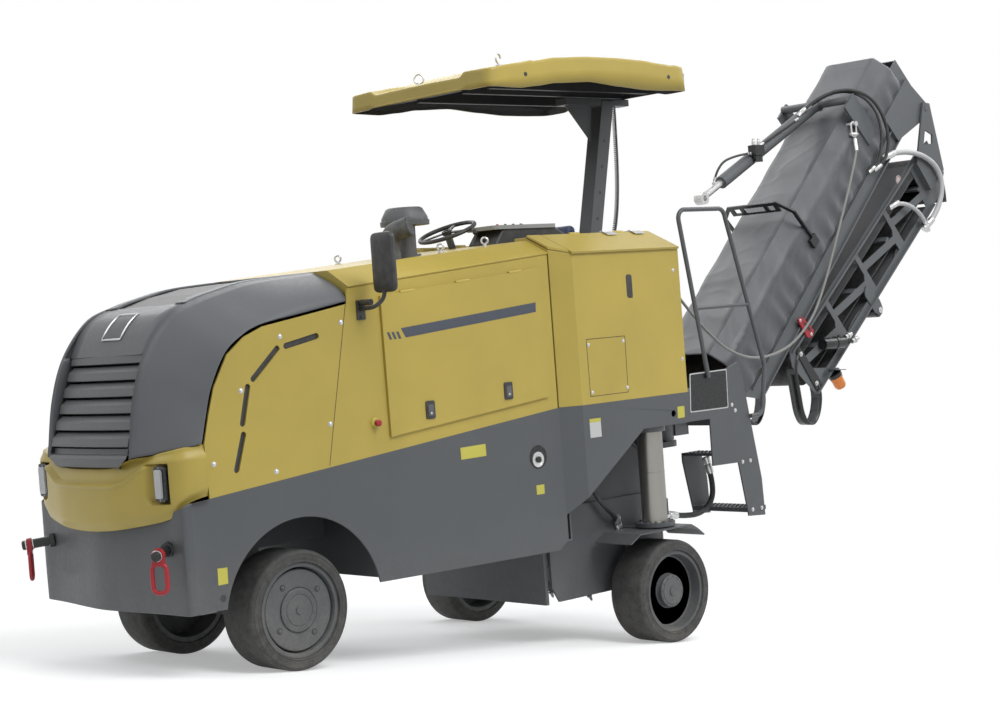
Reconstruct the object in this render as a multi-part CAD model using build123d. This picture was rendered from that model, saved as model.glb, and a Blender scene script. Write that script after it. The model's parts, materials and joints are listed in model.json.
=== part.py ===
"""Compact cold planer on four solid-tyred wheels, as separate named pieces.

Every piece is drawn in the machine's own level frame: +X forward, +Y left, +Z up, the front axle
line above the origin, millimetres throughout. The machine stands with its rear legs run out, so
`stand` tips the body nose-down about the front axle; the front axle and its wheels stay level.
"""

import math
import os

from build123d import *

# Stance
WHEEL_R = 330
WHEEL_W = 280
RIM_R = 260
WHEELBASE = 2878
LEG_EXTENSION = 341.6
PITCH = math.degrees(math.atan2(LEG_EXTENSION, WHEELBASE))
LEG_UP = 340
LEG_DOWN = 20

# Front axle
FRONT_TRACK_HALF = 548
KINGPIN_Y = 360
KINGPIN_R = 22
STUB_R = 45
RUN = 0.06

# Body
HALF = 730
SHEET = 12
CABINET_Y = 800
REAR_X = -3140
CHAMFER_FRONT_X = -2028
CHAMFER_REAR_X = -2160
BELLY_Z = 424
SILL_FRONT = (556, 1011)
SILL_Z = 1252
FLOOR_Z = 1420

# Legs
LEFT_LEG_Y = 674
TIE_HOLE = (-2990, 1125)
TIE_HOLE_R = 22
RIGHT_LEG_Y = -1200
COLUMN_R = 82.5
COLUMN_BORE = COLUMN_R + RUN
SLEEVE_R = 108
PIVOT_X = -2300
PIVOT_Y = -870
PIVOT_PIN_R = 35

# Milling drum
DRUM_X = -2650
DRUM_Z = 350
DRUM_R = 450
DRUM_TUBE_R = 330
DRUM_LEFT = 420
DRUM_RIGHT = -585
HOLDERS_PER_SIDE = 22
SCRAPER_PIN = (-3207, 650)
GUIDE = 0.1
HOLDER_STEP = 52

# Conveyor
LUFF = 44.5
CONV_ORIGIN = (-4050, 0, 1460)
CONV_HALF = 300
COVER_HALF = 220
CONV_LENGTH = 3200
CONV_DEPTH = 570
SLEW_X = -3720
LUFF_PIVOT = (-4050, 0, 1120)
FOLD_HINGE = (-6732, 0, 3226)
FOLD_ANGLE = 39.5
TAIL_NEAR = 120
TAIL_FAR = 2600
TAIL_BAYS = 4
TAIL_TOP = -200
TAIL_BOTTOM = -650
STAY_TOP = (-5762, 0, 3275)
STAY_EYE = (-4340, 0, 2570)
STAY_BARREL = 1330
STAY_ROD_R = 26


# Construction helpers


def block(x0, x1, y0, y1, z0, z1):
    """Block given by its limits."""
    size = (abs(x1 - x0), abs(y1 - y0), abs(z1 - z0))
    return Pos((x0 + x1) / 2, (y0 + y1) / 2, (z0 + z1) / 2) * Box(*size)


def side_prism(outline, y0, y1):
    """Prism across the machine from an (x, z) outline."""
    face = make_face(Polyline(*[(x, y0, z) for x, z in outline], close=True))
    return extrude(face, amount=y1 - y0, dir=(0, 1, 0))


def plan_prism(outline, z0, z1):
    """Upright prism from an (x, y) outline."""
    face = make_face(Polyline(*[(x, y, z0) for x, y in outline], close=True))
    return extrude(face, amount=z1 - z0, dir=(0, 0, 1))


def front_prism(outline, x0, x1):
    """Prism along the machine from a (y, z) outline."""
    face = make_face(Polyline(*[(x0, y, z) for y, z in outline], close=True))
    return extrude(face, amount=x1 - x0, dir=(1, 0, 0))


def rod(start, end, radius):
    """Round bar between two points."""
    a, b = Vector(*start), Vector(*end)
    plane = Plane(origin=a, z_dir=b - a)
    return plane * Cylinder(radius, (b - a).length, align=(Align.CENTER, Align.CENTER, Align.MIN))


def tube(start, end, outer, inner):
    """Round tube between two points."""
    return rod(start, end, outer) - rod(start, end, inner)


def bent_bar(points, radius, bend):
    """Round bar along straight runs joined by bends."""
    corners = [Vector(*p) for p in points]
    start = corners[0]
    bar = None
    for before, corner, after in zip(corners, corners[1:], corners[2:]):
        a = (corner - before).normalized()
        b = (after - corner).normalized()
        turn = math.acos(a.dot(b))
        run = bend * math.tan(turn / 2)
        entry = corner - a * run
        axis = a.cross(b).normalized()
        centre = entry + axis.cross(a) * bend
        face = Plane(origin=entry, z_dir=a) * Circle(radius)
        elbow = revolve(face, axis=Axis(centre, axis), revolution_arc=math.degrees(turn))
        piece = rod(tuple(start), tuple(entry), radius) + elbow
        bar = piece if bar is None else bar + piece
        start = corner + b * run
    return bar + rod(tuple(start), tuple(corners[-1]), radius)


def band(points, wall):
    """Closed outline of a sheet along an open run of points, its thickness on the left."""
    normals = []
    for (a0, b0), (a1, b1) in zip(points, points[1:]):
        length = math.hypot(a1 - a0, b1 - b0)
        normals.append(((b0 - b1) / length, (a1 - a0) / length))
    inner = []
    for i, (a, b) in enumerate(points):
        n0 = normals[max(i - 1, 0)]
        n1 = normals[min(i, len(normals) - 1)]
        scale = wall / (1 + n0[0] * n1[0] + n0[1] * n1[1])
        inner.append((a + (n0[0] + n1[0]) * scale, b + (n0[1] + n1[1]) * scale))
    return list(points) + inner[::-1]


def ruled(sections):
    """Ruled solid through closed outlines given as 3-D points."""
    return loft([make_face(Polyline(*points, close=True)) for points in sections], ruled=True)


def other_side(shape):
    """The same piece for the right side."""
    return mirror(shape, about=Plane.XZ)


def on_conveyor(shape):
    """Place a piece drawn along -X from the conveyor's lower end, its cover's top at z 0."""
    return Pos(*CONV_ORIGIN) * Rot(0, LUFF, 0) * shape


def on_tail(shape):
    """Place a piece drawn along +X from the fold hinge, hanging below it."""
    return Pos(*FOLD_HINGE) * Rot(0, FOLD_ANGLE, 0) * shape


def stand(shape):
    """Tip a body piece nose-down about the front axle line."""
    return Pos(0, 0, WHEEL_R) * Rot(0, PITCH, 0) * Pos(0, 0, -WHEEL_R) * shape


# Wheels and axles


def tyre(y):
    """Solid tyre centred at y on an axle line at the origin."""
    half = WHEEL_W / 2
    edge = 18
    outline = [
        (RIM_R + 0.5, -half),
        (WHEEL_R - edge, -half),
        (WHEEL_R, edge - half),
        (WHEEL_R, half - edge),
        (WHEEL_R - edge, half),
        (RIM_R + 0.5, half),
    ]
    face = make_face(Polyline(*[(r, a, 0) for r, a in outline], close=True))
    return Pos(0, y, 0) * revolve(face, axis=Axis.Y)


def rim(y, outward):
    """Dished steel wheel; outward is +1 or -1 along Y."""
    half = WHEEL_W / 2
    profile = [
        (STUB_R + RUN, -60),
        (120, -60),
        (120, 10),
        (RIM_R - 30, 40),
        (RIM_R - 30, 10 - half),
        (RIM_R, 10 - half),
        (RIM_R, half - 10),
        (RIM_R - 22, half - 10),
        (RIM_R - 34, 62),
        (105, 34),
        (105, 80),
        (STUB_R + RUN, 80),
    ]
    face = make_face(Polyline(*[(r, a * outward, 0) for r, a in profile], close=True))
    return Pos(0, y, 0) * revolve(face, axis=Axis.Y)


def front_axle():
    """Beam with a bolster under the frame and an upright eye at each end."""
    beam = block(-65, 65, -KINGPIN_Y, KINGPIN_Y, WHEEL_R - 65, WHEEL_R + 65)
    beam += block(-90, 90, -150, 150, WHEEL_R + 60, 660)
    for side in (-1, 1):
        y = side * KINGPIN_Y
        beam -= block(-80, 80, y - side * 62, y + side * 62, 200, 460)
        eye = rod((0, y, WHEEL_R - 55), (0, y, WHEEL_R + 55), 55)
        eye += block(-40, 40, y - side * 66, y - side * 30, WHEEL_R - 55, WHEEL_R + 55)
        beam += eye
        beam -= rod((0, y, 200), (0, y, 460), KINGPIN_R + RUN)
    return beam - stand(axle_box())


def knuckle(side):
    """Fork and kingpin about the axle's eye, with the stub the wheel turns on."""
    y = side * KINGPIN_Y
    out = side * (KINGPIN_Y + 62)
    piece = rod((0, y, WHEEL_R - 90), (0, y, WHEEL_R + 90), KINGPIN_R)
    for z0, z1 in ((WHEEL_R - 92, WHEEL_R - 60), (WHEEL_R + 60, WHEEL_R + 92)):
        piece += rod((0, y, z0), (0, y, z1), 48)
        piece += block(-48, 48, y, out + side * 14, z0, z1)
    piece += block(-60, 60, out, out + side * 28, WHEEL_R - 92, WHEEL_R + 92)
    piece += rod((0, out, WHEEL_R), (0, side * (FRONT_TRACK_HALF + 70), WHEEL_R), STUB_R)
    return piece


def leg(y, inward, column_top, fender):
    """Lifting column with its bracket, stub axle and folded mudguard."""
    x = -WHEELBASE
    hub = WHEEL_R - LEG_EXTENSION
    plate = y + inward * (WHEEL_W / 2 + 24)
    piece = rod((x, y, 425), (x, y, column_top), COLUMN_R)
    piece += rod((x, y, 408), (x, y, 435), 128)
    piece += block(x - 110, x + 110, y + inward * 40, plate + inward * 25, 385, 412)
    hanger = [(x - 110, 412), (x + 110, 412), (x + 90, hub - 30), (x + 50, hub - 80)]
    hanger += [(x - 50, hub - 80), (x - 90, hub - 30)]
    piece += side_prism(hanger, min(plate, plate + inward * 25), max(plate, plate + inward * 25))
    piece += rod((x, plate, hub), (x, y - inward * 70, hub), STUB_R)
    fender = [(x + along, up) for along, up in fender]
    sheet = side_prism(band(fender, 8), y - 158, y + 158)
    return piece + sheet


LEFT_FENDER = [(-292, 320), (-232, 366), (-172, 400), (318, 400), (408, 350)]
RIGHT_FENDER = [(-322, 330), (-212, 400), (212, 400), (322, 330)]


def swing_arm():
    """Arm carrying the right leg's guide about an upright pin on the frame."""
    x, y = -WHEELBASE, RIGHT_LEG_Y
    z0, z1 = 830, 1200
    hub = rod((PIVOT_X, PIVOT_Y, z0), (PIVOT_X, PIVOT_Y, z1), 88)
    guide = rod((x, y, 780), (x, y, 1255), SLEEVE_R)
    length = math.hypot(x - PIVOT_X, y - PIVOT_Y)
    across = (y - PIVOT_Y) / length * 72, (PIVOT_X - x) / length * 72
    outline = [
        (PIVOT_X + across[0], PIVOT_Y + across[1]),
        (x + across[0], y + across[1]),
        (x - across[0], y - across[1]),
        (PIVOT_X - across[0], PIVOT_Y - across[1]),
    ]
    piece = hub + guide
    for low, high in ((z0, z0 + 60), (z1 - 60, z1)):
        piece += plan_prism(outline, low, high)
    web = [(a, b) for a, b in outline]
    piece += plan_prism([((a + c) / 2, (b + d) / 2) for (a, b), (c, d) in zip(web, web[1:] + web[:1])], z0, z1)
    piece -= rod((x, y, 700), (x, y, 1243), COLUMN_BORE)
    return piece - rod((PIVOT_X, PIVOT_Y, 700), (PIVOT_X, PIVOT_Y, 1300), PIVOT_PIN_R + RUN)


# Frame

SKIRT = [
    (722, BELLY_Z),
    (-1953, 381),
    (CHAMFER_FRONT_X, 440),
    (CHAMFER_FRONT_X, SILL_Z),
    SILL_FRONT,
    (640, 990),
    (700, 950),
]
BOW = [
    (716, 718),
    (742, 575),
    (762, 400),
    (788, 200),
    (808, 0),
    (788, -200),
    (762, -400),
    (742, -575),
    (716, -718),
]
ARCH_CENTRE = (-12, 312)
ARCH_R = 527
RECESS = {"x0": -2060, "x1": -1270, "y": -370, "z": 1263}


def side_skirts():
    """Left and right skirt plates with their wheel arches."""
    left = side_prism(SKIRT, HALF - SHEET, HALF)
    arch_x, arch_z = ARCH_CENTRE
    arch = rod((arch_x, HALF - 40, arch_z), (arch_x, HALF + 20, arch_z), ARCH_R)
    left -= arch
    right = other_side(left) - block(-2200, RECESS["x1"] + 2, -HALF - 5, -HALF + 20, 300, 1300)
    return left, right


def rear_skirt():
    """Left rear skirt, stepping out to the cabinet's plane, cut off on the slant."""
    plan = [
        (CHAMFER_FRONT_X, HALF),
        (CHAMFER_REAR_X, CABINET_Y),
        (REAR_X, CABINET_Y),
        (REAR_X, CABINET_Y - SHEET),
        (CHAMFER_REAR_X + 4, CABINET_Y - SHEET),
        (CHAMFER_FRONT_X, HALF - SHEET - 2),
    ]
    skirt = plan_prism(plan, 560, SILL_Z)
    below = [(-1900, 500), (-1900, 590), (CHAMFER_FRONT_X, 590), (-2700, 1055), (-3200, 1055)]
    below += [(-3200, 500)]
    skirt -= side_prism(below, 600, 900)
    x, z = TIE_HOLE
    return skirt - rod((x, CABINET_Y - 30, z), (x, CABINET_Y + 30, z), TIE_HOLE_R)


def main_frame():
    """Welded lower frame: skirts, bulkheads, wheel bays, leg guide, pivot lugs and slew lugs."""
    left, right = side_skirts()
    frame = left + right + rear_skirt()
    frame += plan_prism(band(BOW[::-1], SHEET), BELLY_Z, 900)
    frame += block(-560, -548, -718, 718, 430, 1000)
    deck = [(-548, 718)] + [(x - 6, y) for x, y in BOW] + [(-548, -718)]
    frame += plan_prism(deck, 888, 900)
    shroud = [(600, -625), (660, -605)] + [(x - 60, y * 0.95) for x, y in BOW[-2:0:-1]] + [(660, 605), (600, 625)]
    shroud = band(shroud, SHEET)
    frame += plan_prism(shroud, 895, 985)
    frame += axle_box()
    belly = [(-560, -718), (-560, 718), (-2060, 718), (-2060, -382), (-1258, -382), (-1258, -718)]
    frame += plan_prism(belly, BELLY_Z, BELLY_Z + SHEET)
    x0, x1, y, z = RECESS["x0"], RECESS["x1"], RECESS["y"], RECESS["z"]
    frame += block(x0 - SHEET, x1 + SHEET, y, y + SHEET, BELLY_Z, z)
    frame += block(x1, x1 + SHEET, -718, y + SHEET, BELLY_Z, z)
    frame += block(x0 - SHEET, x1 + SHEET, -716, y + SHEET, z, z + SHEET)
    frame += block(x0 - SHEET, x0, -642, 718, 590, SILL_Z)
    frame += block(x0 - SHEET, x0, y, 718, BELLY_Z, 600)
    frame += block(REAR_X, x0, 442, 454, 1055, SILL_Z)
    frame += block(REAR_X, x0, -654, -642, 1055, SILL_Z)
    frame += block(REAR_X, REAR_X + SHEET, -654, 795, 1055, SILL_Z)
    frame += block(REAR_X, -2690, 442, 795, 1055, 1067)
    leg_x = -WHEELBASE
    frame += tube((leg_x, LEFT_LEG_Y, 1020), (leg_x, LEFT_LEG_Y, 1560), 105, COLUMN_BORE)
    frame -= rod((leg_x, LEFT_LEG_Y, 1000), (leg_x, LEFT_LEG_Y, 1600), COLUMN_BORE)
    frame += swing_lugs()
    frame += slew_mount()
    return frame


def axle_box():
    """Box girder the front axle's bolster stands under."""
    return block(-548, 640, -220, 220, 640, 890)


def swing_lugs():
    """Web, two lugs and the pin the right arm turns on."""
    web = block(PIVOT_X - 140, PIVOT_X + 100, -700, -675, 780, 1250)
    web += block(PIVOT_X - 140, PIVOT_X + 100, -700, -645, 1215, 1250)
    for low, high in ((780, 815), (1215, 1250)):
        web += block(PIVOT_X - 90, PIVOT_X + 90, PIVOT_Y, -680, low, high)
        web += rod((PIVOT_X, PIVOT_Y, low), (PIVOT_X, PIVOT_Y, high), 90)
    return web + rod((PIVOT_X, PIVOT_Y, 780), (PIVOT_X, PIVOT_Y, 1250), PIVOT_PIN_R)


def slew_mount():
    """Rear beam with upper and lower lugs and the conveyor's upright pin."""
    mount = block(-3560, REAR_X + 5, -240, 240, 1060, 1240)
    mount += block(-3560, -3500, -150, 150, 830, 1240)
    for low, high in ((830, 870), (1200, 1240)):
        mount += block(SLEW_X, -3540, -110, 110, low, high)
        mount += rod((SLEW_X, 0, low), (SLEW_X, 0, high), 110)
    return mount + rod((SLEW_X, 0, 830), (SLEW_X, 0, 1240), 45)


# Front end

BUMPER_PLAN = [
    (580, 730),
    (700, 704),
    (750, 660),
    (800, 534),
    (865, 240),
    (865, -240),
    (800, -534),
    (750, -660),
    (700, -704),
    (580, -730),
]
BUMPER_TOP = [(730, 1290), (700, 1280), (530, 1250), (250, 1182)]
BUMPER_LOW = [(250, 842), (360, 890), (600, 940), (660, 970), (700, 1000), (732, 1018)]


def front_bumper():
    """Stepped bumper wrapped round the nose."""
    wall = plan_prism(band(BUMPER_PLAN[::-1], 46), 800, 1340)
    face = [(-y, z) for y, z in BUMPER_TOP] + BUMPER_TOP[::-1]
    face += BUMPER_LOW[::-1] + [(-y, z) for y, z in BUMPER_LOW]
    bumper = wall & front_prism(face, 500, 900)
    lip = plan_prism(band([(x + 14, y) for x, y in BUMPER_PLAN[2:-2]][::-1], 40), 800, 1110)
    low = [(y, z) for y, z in BUMPER_LOW[:4]]
    under = [(-y, z) for y, z in low][::-1] + low + [(662, 1110), (240, 1100), (-240, 1100), (-662, 1110)]
    bumper += lip & front_prism(under, 500, 900)
    for side in (-1, 1):
        y = side * 600
        bumper -= block(740, 900, y - 50, y + 50, 1012, 1205)
    return bumper


def headlight(side):
    """Upright lamp in the bumper's recess."""
    y = side * 600
    body = block(740, 778, y - 47, y + 47, 1014, 1203)
    for z in (1062, 1155):
        body += rod((770, y, z), (790, y, z), 40)
    return body


NOSE = [(866, 1184), (860, 1285), (675, 1790), (588, 1945)]
GRILLE_HALF = 402


def nose_x(z):
    """Grille's outer face at a height."""
    for (x0, z0), (x1, z1) in zip(NOSE, NOSE[1:]):
        if z <= z1:
            break
    return x0 + (x1 - x0) * (z - z0) / (z1 - z0)


def front_grille():
    """Grille frame with a row of louvre slats."""
    sheet = side_prism(band(NOSE, 30), -GRILLE_HALF, GRILLE_HALF)
    grille = sheet - block(400, 900, -368, 368, 1300, 1915)
    for side in (-1, 1):
        seat = [(side * 248, 1170), (side * 248, 1183), (side * 404, 1221), (side * 404, 1170)]
        grille -= front_prism(seat, 400, 900)
    rise = 103
    for i in range(6):
        z = 1307 + rise * i
        x = nose_x(z)
        slat = [(x - 2, z), (x - 2, z + 10), (x - 46, z + 80), (x - 56, z + 76)]
        grille += side_prism(slat, -372, 372)
    return grille


FENDER_STATIONS = [
    ((585, 1302), (838, 1248), 0.45),
    ((545, 1450), (790, 1550), 0.14),
    ((500, 1590), (700, 1790), 0.08),
    ((400, 1760), (540, 1980), 0.08),
    ((280, 1850), (370, 2053), 0.18),
    ((150, 1900), (200, 2098), 0.25),
    ((-100, 1938), (-20, 2140), 0.46),
    ((-430, 1990), (-450, 2168), 0.46),
]


def fender():
    """Left hood corner, rolled from the bumper up and back to the deck."""
    sections = []
    for (sx, sz), (rx, rz), share in FENDER_STATIONS:
        length = math.hypot(rx - sx, rz - sz)
        run = band([(length, 420), (length * share, 650), (0, HALF)], 14)
        points = [(sx + (rx - sx) * a / length, y, sz + (rz - sz) * a / length) for a, y in run]
        sections.append(points)
    return ruled(sections)


HOOD_TOP = [(562, 1968), (370, 2057), (200, 2102), (-20, 2144), (-450, 2172)]


def hood_top():
    """Centre panel with the opening for the mesh."""
    panel = side_prism(band(HOOD_TOP[::-1], -16), -421, 421)
    return panel - block(-300, 400, -300, 300, 1900, 2300)


def hood():
    """Both corners and the centre panel as one pressing."""
    corner = fender()
    return corner + other_side(corner) + hood_top()


def hood_mesh():
    """Dark mesh over the fan, on a flange below the panel."""
    run = [(399.5, 2034), (200, 2092), (-20, 2134), (-299.5, 2152)]
    return side_prism(band(run[::-1], -10), -299.5, 299.5)


SIDE_TOP = band([seam for seam, _, _ in FENDER_STATIONS], 16)[:7:-1]
SIDE_TOP += [(-445, 2060), (-1985, 2190)]
DOOR = [(-669, 2007), (-1927, 2116), (-1934, 1327), (-675, 1208)]
SLOTS = [
    ((320, 1320), (380, 1140)),
    ((270, 1570), (320, 1380)),
    ((60, 1760), (230, 1610)),
    ((0, 1770), (-210, 1810)),
]


def slot_cut(a, b):
    """Long slot through the left side panel."""
    cut = rod((a[0], 700, a[1]), (a[0], 760, a[1]), 17)
    cut += rod((b[0], 700, b[1]), (b[0], 760, b[1]), 17)
    dx, dz = b[0] - a[0], b[1] - a[1]
    length = math.hypot(dx, dz)
    nx, nz = -dz / length * 17, dx / length * 17
    outline = [
        (a[0] + nx, a[1] + nz),
        (b[0] + nx, b[1] + nz),
        (b[0] - nx, b[1] - nz),
        (a[0] - nx, a[1] - nz),
    ]
    return cut + side_prism(outline, 700, 760)


def sill(x):
    """Height of the line where the side panels stand on the skirts."""
    run = CHAMFER_FRONT_X - SILL_FRONT[0]
    return SILL_FRONT[1] + (SILL_Z - SILL_FRONT[1]) * (x - SILL_FRONT[0]) / run


def side_panel():
    """Left side sheet with the service opening and the slots."""
    outline = [(562, sill(562))] + SIDE_TOP + [(-2015, 2190), (-2015, sill(-2015))]
    panel = side_prism(outline, HALF - SHEET, HALF)
    inset = 40
    opening = [
        (DOOR[0][0] - inset, DOOR[0][1] - inset),
        (DOOR[1][0] + inset, DOOR[1][1] - inset),
        (DOOR[2][0] + inset, DOOR[2][1] + inset),
        (DOOR[3][0] - inset, DOOR[3][1] + inset),
    ]
    panel -= side_prism(opening, 700, 760)
    for a, b in SLOTS:
        panel -= slot_cut(a, b)
    return panel


def side_door():
    """Left service door, standing proud of the panel, hinged along its top."""
    door = side_prism(DOOR, HALF + 2, HALF + 16)
    inset = 60
    rib = [
        (DOOR[0][0] - inset, DOOR[0][1] - inset),
        (DOOR[1][0] + inset, DOOR[1][1] - inset),
        (DOOR[2][0] + inset, DOOR[2][1] + inset),
        (DOOR[3][0] - inset, DOOR[3][1] + inset),
    ]
    door += side_prism(rib, HALF - 10, HALF + 4)
    (x0, z0), (x1, z1) = DOOR[:2]
    for start in (0.12, 0.46, 0.8):
        ends = [(x0 + (x1 - x0) * t, HALF + 9, z0 + (z1 - z0) * t) for t in (start, start + 0.08)]
        door += rod(*ends, 9)
    return door


COLUMN = ((-2110, -150, 2060), (-2000, -150, 2385))


def top_deck():
    """Top cover behind the hood, chamfered to both sides."""
    sections = []
    for x, edge_z, top_z in ((-455, 2072, 2172), (CHAMFER_FRONT_X, 2205, 2293)):
        run = [(-HALF, edge_z), (-550, top_z), (550, top_z), (HALF, edge_z)]
        sections.append([(x, y, z) for y, z in band(run, -SHEET)])
    front = [(-716, 2069), (-549, 2163), (549, 2163), (716, 2069), (716, 2000), (-716, 2000)]
    deck = ruled(sections) + front_prism(front, -467, -455)
    return deck - rod(*COLUMN, 34)


def engine_block():
    """Plain engine and pump block on the frame."""
    engine = block(-1350, -350, -280, 280, 1000, 1700)
    engine += block(-600, -1400, -200, 200, 700, 1010)
    engine += block(-360, -100, -330, 330, 1150, 1950)
    engine += block(-1700, -1340, -220, 220, 1000, 1500)
    for x in (-700, -1300):
        for y in (-150, 150):
            engine += block(x - 40, x + 40, y - 40, y + 40, BELLY_Z + SHEET, 710)
    return engine


# Rear body


LID_SLOT = (-2664, 1963)


def rear_cabinet():
    """Left cabinet beside the operator, open at the top for its lid."""
    plan = [
        (CHAMFER_FRONT_X, 440),
        (CHAMFER_FRONT_X, HALF),
        (CHAMFER_REAR_X, CABINET_Y),
        (REAR_X, CABINET_Y),
        (REAR_X, 440),
    ]
    inner = [
        (CHAMFER_FRONT_X - SHEET, 452),
        (CHAMFER_FRONT_X - SHEET, HALF - 8),
        (CHAMFER_REAR_X - 2, CABINET_Y - SHEET),
        (REAR_X + SHEET, CABINET_Y - SHEET),
        (REAR_X + SHEET, 452),
    ]
    cabinet = plan_prism(plan, 1252, 2320) - plan_prism(inner, 1264, 2330)
    cabinet -= front_prism([(810, 2185), (540, 2308), (540, 2400), (810, 2400)], -3300, -1900)
    cabinet -= front_prism([(430, 2312), (560, 2312), (560, 2400), (430, 2400)], -3300, -1900)
    cabinet += block(REAR_X, CHAMFER_FRONT_X, 440, 545, 2300, 2312)
    cap = front_prism(band([(812, 2188), (546, 2313)], -14), CHAMFER_REAR_X + 14, CHAMFER_FRONT_X)
    cabinet += cap & plan_prism(plan, 2000, 2400)
    cabinet -= block(LID_SLOT[0] - 20, LID_SLOT[0] + 20, 700, 900, LID_SLOT[1] - 72, LID_SLOT[1] + 72)
    cabinet -= rod((-WHEELBASE, LEFT_LEG_Y, 1200), (-WHEELBASE, LEFT_LEG_Y, 1300), 112)
    return cabinet


def cabinet_lid():
    """Sloping lid hinged along its inner edge."""
    run = [(812, 2188), (548, 2312)]
    lid = front_prism(band(run, -14), REAR_X + 5, CHAMFER_REAR_X + 10)
    for x in (-2450, -2850):
        lid += rod((x - 45, 546, 2323), (x + 45, 546, 2323), 11)
    return lid


def platform():
    """Operator's floor with its front wall and rear kick plate."""
    floor = block(REAR_X, CHAMFER_FRONT_X, -438, 438, FLOOR_Z, FLOOR_Z + SHEET)
    floor += block(CHAMFER_FRONT_X - SHEET, CHAMFER_FRONT_X, -438, 438, 1252, 2288)
    floor += block(REAR_X, REAR_X + SHEET, -438, 438, 1252, FLOOR_Z + 90)
    return floor + steering_column() + seat_base()


def console():
    """Instrument console on its pedestal."""
    foot = FLOOR_Z + SHEET
    outline = [(-2045, foot), (-2045, 2300), (-2120, 2395), (-2560, 2405), (-2700, 2330)]
    outline += [(-2680, 2290), (-2330, 2270), (-2230, foot)]
    return side_prism(outline, -20, 250)


def steering_column():
    """Pedestal and column under the wheel."""
    column = block(-2190, -2060, -200, -100, FLOOR_Z + SHEET, 2080)
    return column + rod(*COLUMN, 24)


def steering_wheel():
    """Ring, spokes and hub on the column."""
    section = Pos(185, 0, 0) * Rot(90, 0, 0) * RegularPolygon(14, 8)
    ring = revolve(section, axis=Axis.Z) + Cylinder(34, 26)
    for turn in (90, 210, 330):
        ring += Rot(0, 0, turn) * Pos(95, 0, 0) * Box(180, 24, 10)
    ring -= Cylinder(24.06, 60)
    return Pos(-1996, -150, 2400) * Rot(0, 19, 0) * ring


def seat_base():
    """Pedestal under the seat."""
    base = block(-2950, -2650, -360, -80, FLOOR_Z + SHEET, FLOOR_Z + 60)
    return base + block(-2890, -2710, -300, -140, FLOOR_Z + 50, 1892)


def seat():
    """Cushion and back."""
    cushion = block(-2950, -2520, -430, -10, 1892, 1990)
    back = [(-2960, 1892), (-2860, 1892), (-2960, 2380), (-3060, 2380)]
    return cushion + side_prism(back, -430, -10)


# Top gear


def below_deck():
    """Space under the top cover's outer face, for cutting what stands on it."""
    outline = [(-455, 2172), (CHAMFER_FRONT_X, 2293), (CHAMFER_FRONT_X, 1900), (-455, 1900)]
    return side_prism(outline, -500, 500)


def air_cleaner():
    """Pre-cleaner bowl on its stem."""
    stem = rod((-1265, 300, 2200), (-1265, 300, 2430), 60)
    bowl = rod((-1265, 300, 2420), (-1265, 300, 2500), 150)
    bowl += rod((-1265, 300, 2500), (-1265, 300, 2532), 120)
    return stem + bowl - below_deck()


def exhaust_pipe():
    """Short stack with a rain elbow."""
    pipe = rod((-1250, -120, 2200), (-1250, -120, 2380), 60)
    pipe += rod((-1250, -120, 2360), (-1400, -120, 2430), 60)
    return pipe - rod((-1260, -120, 2364), (-1420, -120, 2439), 54) - below_deck()


def mirror_left():
    """Rear-view mirror on its bracket."""
    arm = bent_bar([(-530, HALF + 4, 1940), (-530, 850, 1945), (-580, 880, 2100)], 12, 40)
    arm += block(-560, -500, HALF, HALF + 8, 1880, 1990)
    return arm + block(-600, -560, 805, 995, 2020, 2360)


def canopy_roof():
    """Hollow roof in two tiers with corner blocks at its front."""
    lower = [
        (-1690, -680),
        (-1750, -470),
        (-1860, -440),
        (-1890, 400),
        (-1750, 420),
        (-1815, 630),
        (-1850, 680),
        (-3490, 680),
        (-3490, -680),
    ]
    roof = plan_prism(lower, 3250, 3322)
    upper = [(-1950, -680), (-1950, 680), (-3490, 680), (-3490, -680)]
    roof += plan_prism(upper, 3250, 3362)
    crown = [(-640, 3355), (-420, 3392), (420, 3392), (640, 3355)]
    roof += front_prism(crown, -3450, -2000)
    roof -= block(-3478, -1965, -668, 668, 3240, 3345)
    return roof


def canopy_post():
    """Leaning box post with its top bar and gusset."""
    outline = [(-2795, FLOOR_Z + SHEET), (-2905, FLOOR_Z + SHEET), (-3323, 3240), (-3213, 3240)]
    post = side_prism(outline, 45, 155)
    foot = block(-2960, -2740, 0, 200, FLOOR_Z + SHEET, FLOOR_Z + 30)
    bar = block(-3480, -2870, 50, 150, 3205, 3250)
    gusset = side_prism([(-2900, 3210), (-3160, 3210), (-3130, 2960)], 94, 106)
    return post + foot + bar + gusset


# Milling gear


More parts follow.
